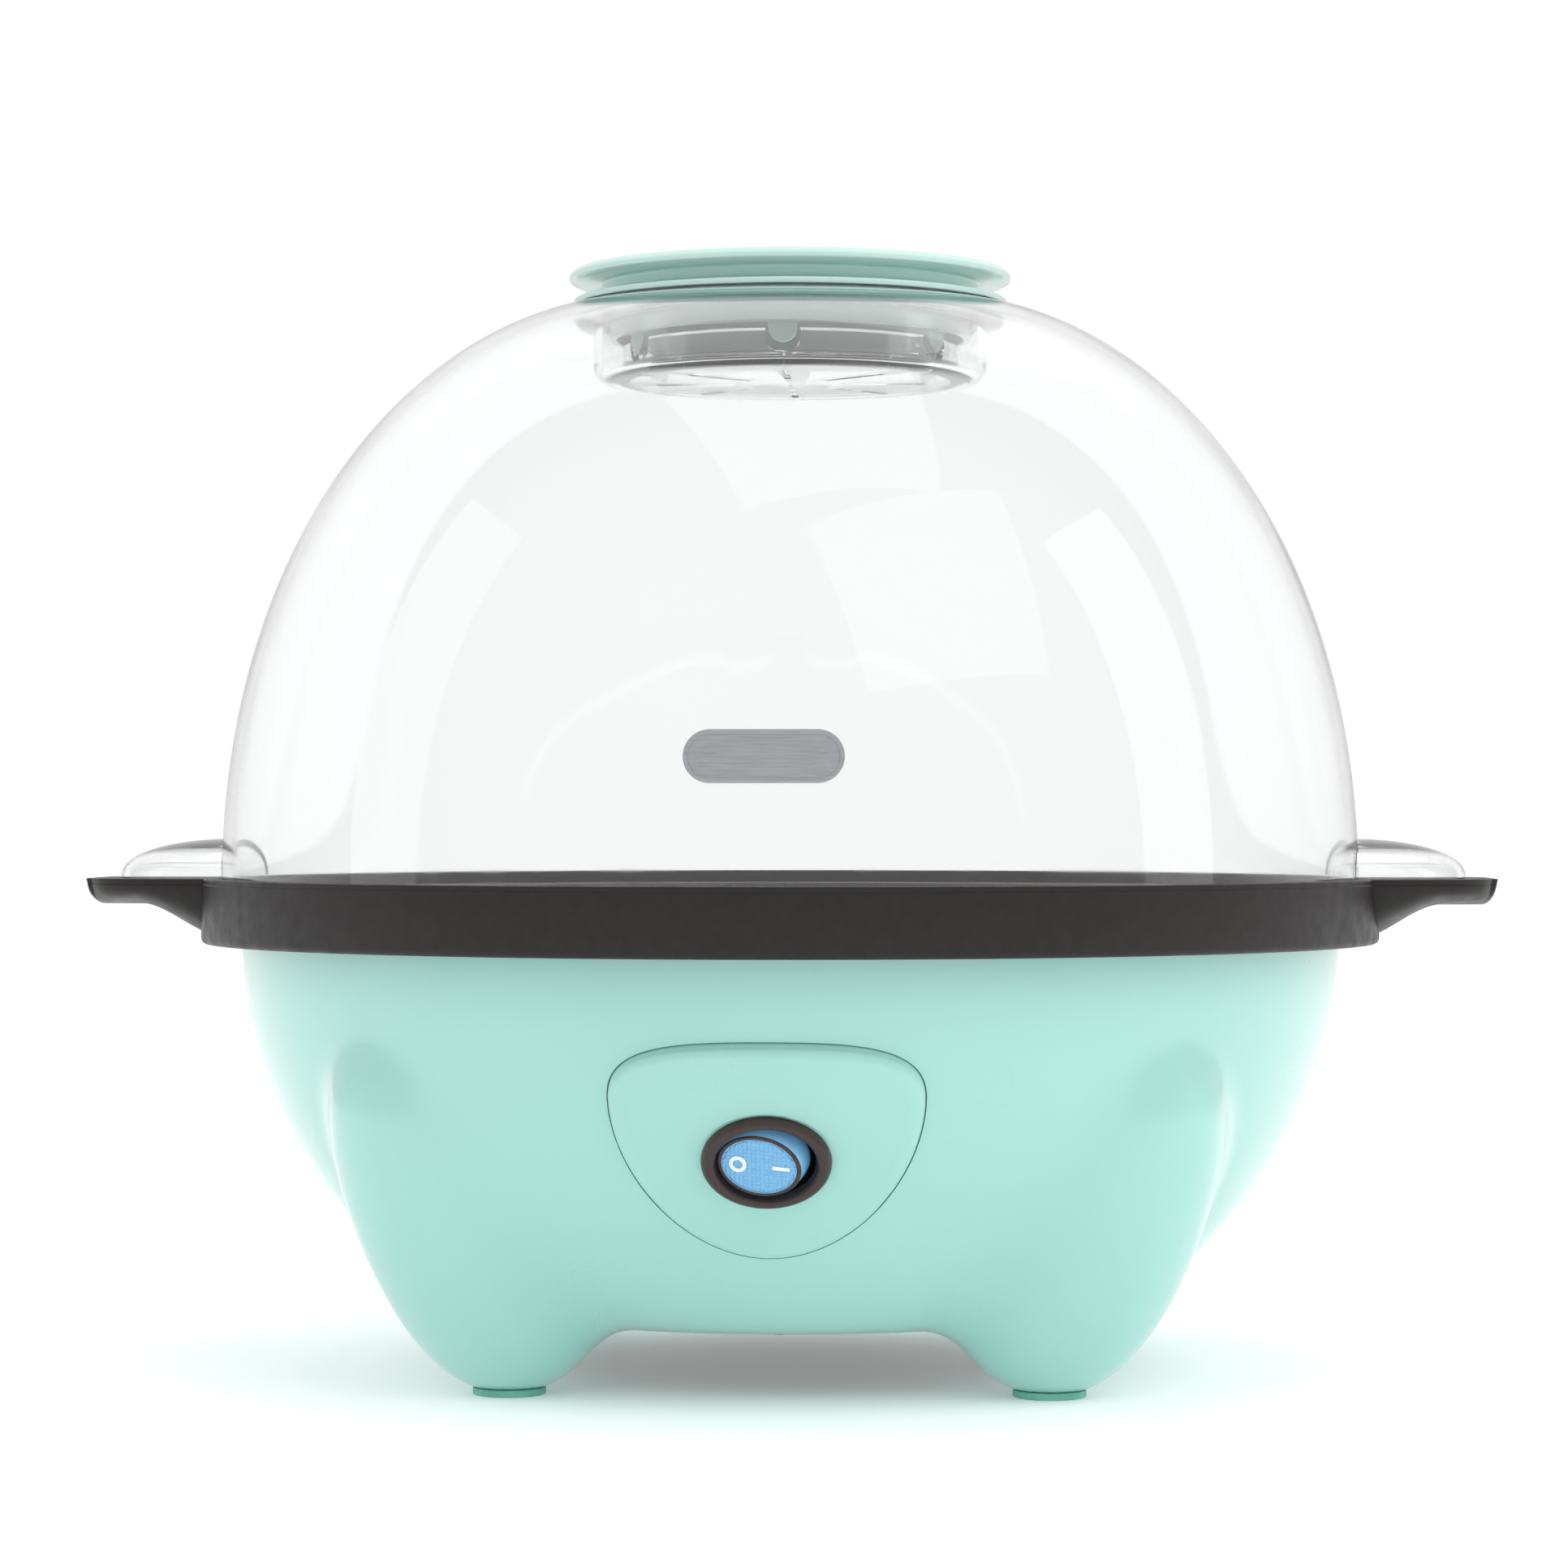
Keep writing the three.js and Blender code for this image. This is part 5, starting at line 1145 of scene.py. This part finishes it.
def make_badge():
    """A plain plate with round ends and a fine raised border, curved to the dome's front."""
    low, high = badge_low, badge_high
    middle_z = (low.z + high.z) / 2
    half_height = (high.z - low.z) / 2
    side = dome_side[np.argsort(dome_side[:, 1])]
    thick = 0.8 * MM

    def ring(inset, lift):
        x, dz = np.array(round_slot(0, high.x - inset, half_height - inset, 24)).T
        z = middle_z + dz
        radius = np.interp(z, side[:, 1], side[:, 0]) + GAP + lift
        return np.stack([x, -np.sqrt(radius ** 2 - x ** 2), z], 1)

    field = thick - 0.25 * MM
    steps = [
        (3 * MM, 0), (0.05 * MM, 0), (0, 0.1 * MM), (0, field), (0.08 * MM, thick - 0.08 * MM),
        (0.25 * MM, thick), (0.9 * MM, thick), (1.05 * MM, thick - 0.06 * MM), (1.15 * MM, thick - 0.22 * MM)]
    steps += [(inset, field) for inset in (1.3 * MM, 2.5 * MM, 4.5 * MM, half_height - 0.1 * MM)]
    plate = loft_mesh([ring(*step) for step in steps])
    new_piece("badge", plate, "dome", "badge_silver", "badge_plate", 30)


# ---------------------------------------------------------------- cap
def make_cap():
    top, flange = cap_high.z, cap_high.x
    waist = WELL_RIM - 7 * MM
    brim = dome_top + GAP
    skirt = WELL_COLLAR + 4.5 * MM
    low = dome_top - 8.5 * MM
    wall = 2 * MM
    inner_top = brim + 2.6 * MM
    floor = inner_top + wall
    flange_low = top - 3.3 * MM
    brim_edge = WELL_RIM + 0.6 * MM
    outline = rounded([
        (0, floor), (waist - 5 * MM, floor, 1.2 * MM), (waist - 3.5 * MM, top - 0.6 * MM, 1.2 * MM),
        (flange - 1.4 * MM, top, 1.5 * MM), (flange, top - 1.2 * MM, 1 * MM),
        (flange - 0.1 * MM, top - 2.6 * MM, 0.7 * MM), (flange - 1.5 * MM, flange_low, 0.6 * MM),
        (waist, flange_low, 0.9 * MM), (waist, inner_top, 0.9 * MM), (brim_edge, brim + 1.6 * MM, 0.7 * MM),
        (brim_edge, brim, 0.4 * MM), (skirt, brim, 0.4 * MM), (skirt, low, 0.5 * MM),
        (skirt - wall, low, 0.5 * MM), (skirt - wall, inner_top, 1 * MM), (0, inner_top)], 5)
    # the cap takes the lighter copy of the mint, painted light
    cap = new_piece("cap", turned_mesh(outline, 192), "cap", "mint_plastic", "lid_cap", material=CAP_MINT_LIT_COPY)
    half = TAB_WIDTH / 2
    tab_in, tab_out = WELL_COLLAR - 1 * MM, WELL_COLLAR + 1 * MM
    tabs = []
    for angle in tab_angles:
        tabs.append(tongue_tool((tab_in, tab_out), half, low - 5 * MM, low + 1 * MM, angle))
        tabs.append(box_tool((tab_in, skirt - 0.4 * MM), (-half, half), (low, low + 2 * MM), turn_z(angle)))
    carve(cap, tabs, "UNION", smooth=35)


# ---------------------------------------------------------------- screws under the base
def make_cover_screw(number):
    low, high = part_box(f"cover_screw_{number}")
    middle = (low + high) / 2
    head, shank = 2.8 * MM, 1.5 * MM
    face = low.z + 2 * MM
    outline = rounded([
        (0, low.z), (head - 0.9 * MM, low.z + 0.1 * MM, 0.8 * MM), (head, low.z + 1.1 * MM, 0.6 * MM),
        (head, face, 0.2 * MM), (shank, face), (shank, high.z, 0.3 * MM), (0, high.z)], 4)
    at = moved(middle.x, middle.y)
    solid = solid_at(turned_mesh(outline, 40), at)
    screw = new_piece(f"cover_screw_head_{number}", solid, "base", "zinc_screw", f"cover_screw_{number}")
    blade, length = 0.4 * MM, 1.6 * MM
    cross = [box_tool((-a, a), (-b, b), (low.z - 1 * MM, low.z + 1.2 * MM), at @ turn_z(number))
             for a, b in ((blade, length), (length, blade))]
    carve(screw, cross, smooth=35)


# ---------------------------------------------------------------- making everything
make_base()
make_panel()
make_bottom_cover()
for number in range(1, 5):
    make_foot(number)
    make_cover_screw(number)
make_gland()
make_bezel()
make_rocker()
make_rocker_frame()
make_rocker_face()
make_marks()
make_collar()
make_dish()
make_stirrer()
make_dome()
make_badge()
make_cap()


# ---------------------------------------------------------------- floor, light and camera
def make_floor():
    mesh = bpy.data.meshes.new("floor")
    reach, count = 6.0, 24
    line = np.linspace(-reach, reach, count)
    verts = [(x, y, 0) for y in line for x in line]
    mesh.from_pydata(verts, [], grid_faces(count, count, wrap_columns=False))
    floor = bpy.data.objects.new("floor", mesh)
    bpy.context.scene.collection.objects.link(floor)
    paper = Finish("floor_paper", (0.93, 0.93, 0.93, 1), 0.55, Emission_Strength=0.22)
    paper.shader.inputs["Emission Color"].default_value = (1, 1, 1, 1)
    paper.vary_colour(paper.noise(0.4, 2), (0.925, 0.925, 0.925, 1), (0.935, 0.935, 0.935, 1))
    mesh.materials.append(paper.material)


LIGHT_AIM = Vector((0, 0, 0.12))


def make_light(name, azimuth, elevation, distance, size, power):
    a, e = math.radians(azimuth), math.radians(elevation)
    back = Vector((math.sin(a) * math.cos(e), -math.cos(a) * math.cos(e), math.sin(e)))
    data = bpy.data.lights.new(name, "AREA")
    data.shape = "RECTANGLE"
    data.size, data.size_y = size
    data.energy = power
    lamp = bpy.data.objects.new(name, data)
    lamp.location = LIGHT_AIM + back * distance
    lamp.rotation_euler = back.to_track_quat("Z", "Y").to_euler()
    lamp.visible_glossy = False
    bpy.context.scene.collection.objects.link(lamp)


def make_world():
    """White for the eye and through the clear dome. What lights and reflects is softer near the horizon."""
    world = bpy.data.worlds.new("studio")
    bpy.context.scene.world = world
    world.use_nodes = True
    nodes, links = world.node_tree.nodes, world.node_tree.links
    background = nodes["Background"]
    background.inputs["Color"].default_value = (1, 1, 1, 1)
    path = nodes.new("ShaderNodeLightPath")
    seen = nodes.new("ShaderNodeMath")
    seen.operation = "MAXIMUM"
    links.new(path.outputs["Is Camera Ray"], seen.inputs[0])
    links.new(path.outputs["Is Transmission Ray"], seen.inputs[1])
    place = nodes.new("ShaderNodeTexCoord")
    split = nodes.new("ShaderNodeSeparateXYZ")
    links.new(place.outputs["Generated"], split.inputs[0])
    by_height = map_range(world.node_tree, split.outputs["Z"], -0.1, 0.75, 0.74, 0.96)
    strength = nodes.new("ShaderNodeMix")
    links.new(seen.outputs[0], strength.inputs["Factor"])
    links.new(by_height, strength.inputs["A"])
    strength.inputs["B"].default_value = 1.02
    links.new(strength.outputs["Result"], background.inputs["Strength"])


def make_camera():
    azimuth = math.radians(2.4)
    distance, height = 1.214, 0.1465
    aim_up, aim_left = math.radians(0.347), math.radians(0.0765)
    data = bpy.data.cameras.new("camera")
    data.sensor_width = 36
    data.lens = 104.7
    camera = bpy.data.objects.new("camera", data)
    camera.location = (distance * math.sin(azimuth), -distance * math.cos(azimuth), height)
    camera.rotation_euler = (math.pi / 2 + aim_up, 0, azimuth + aim_left)
    bpy.context.scene.collection.objects.link(camera)
    bpy.context.scene.camera = camera


make_floor()
make_light("key", 38, 42, 1.8, (1.2, 1.0), 4)
make_light("left_side", -82, 22, 1.5, (0.5, 1.2), 2)
make_light("right_side", 82, 22, 1.5, (0.5, 1.2), 3)
make_light("overhead", 20, 78, 1.9, (1.2, 1.2), 5)
make_light("back", 172, 50, 1.8, (1.4, 0.8), 3)
make_world()
make_camera()
bpy.context.scene.view_settings.view_transform = "Standard"
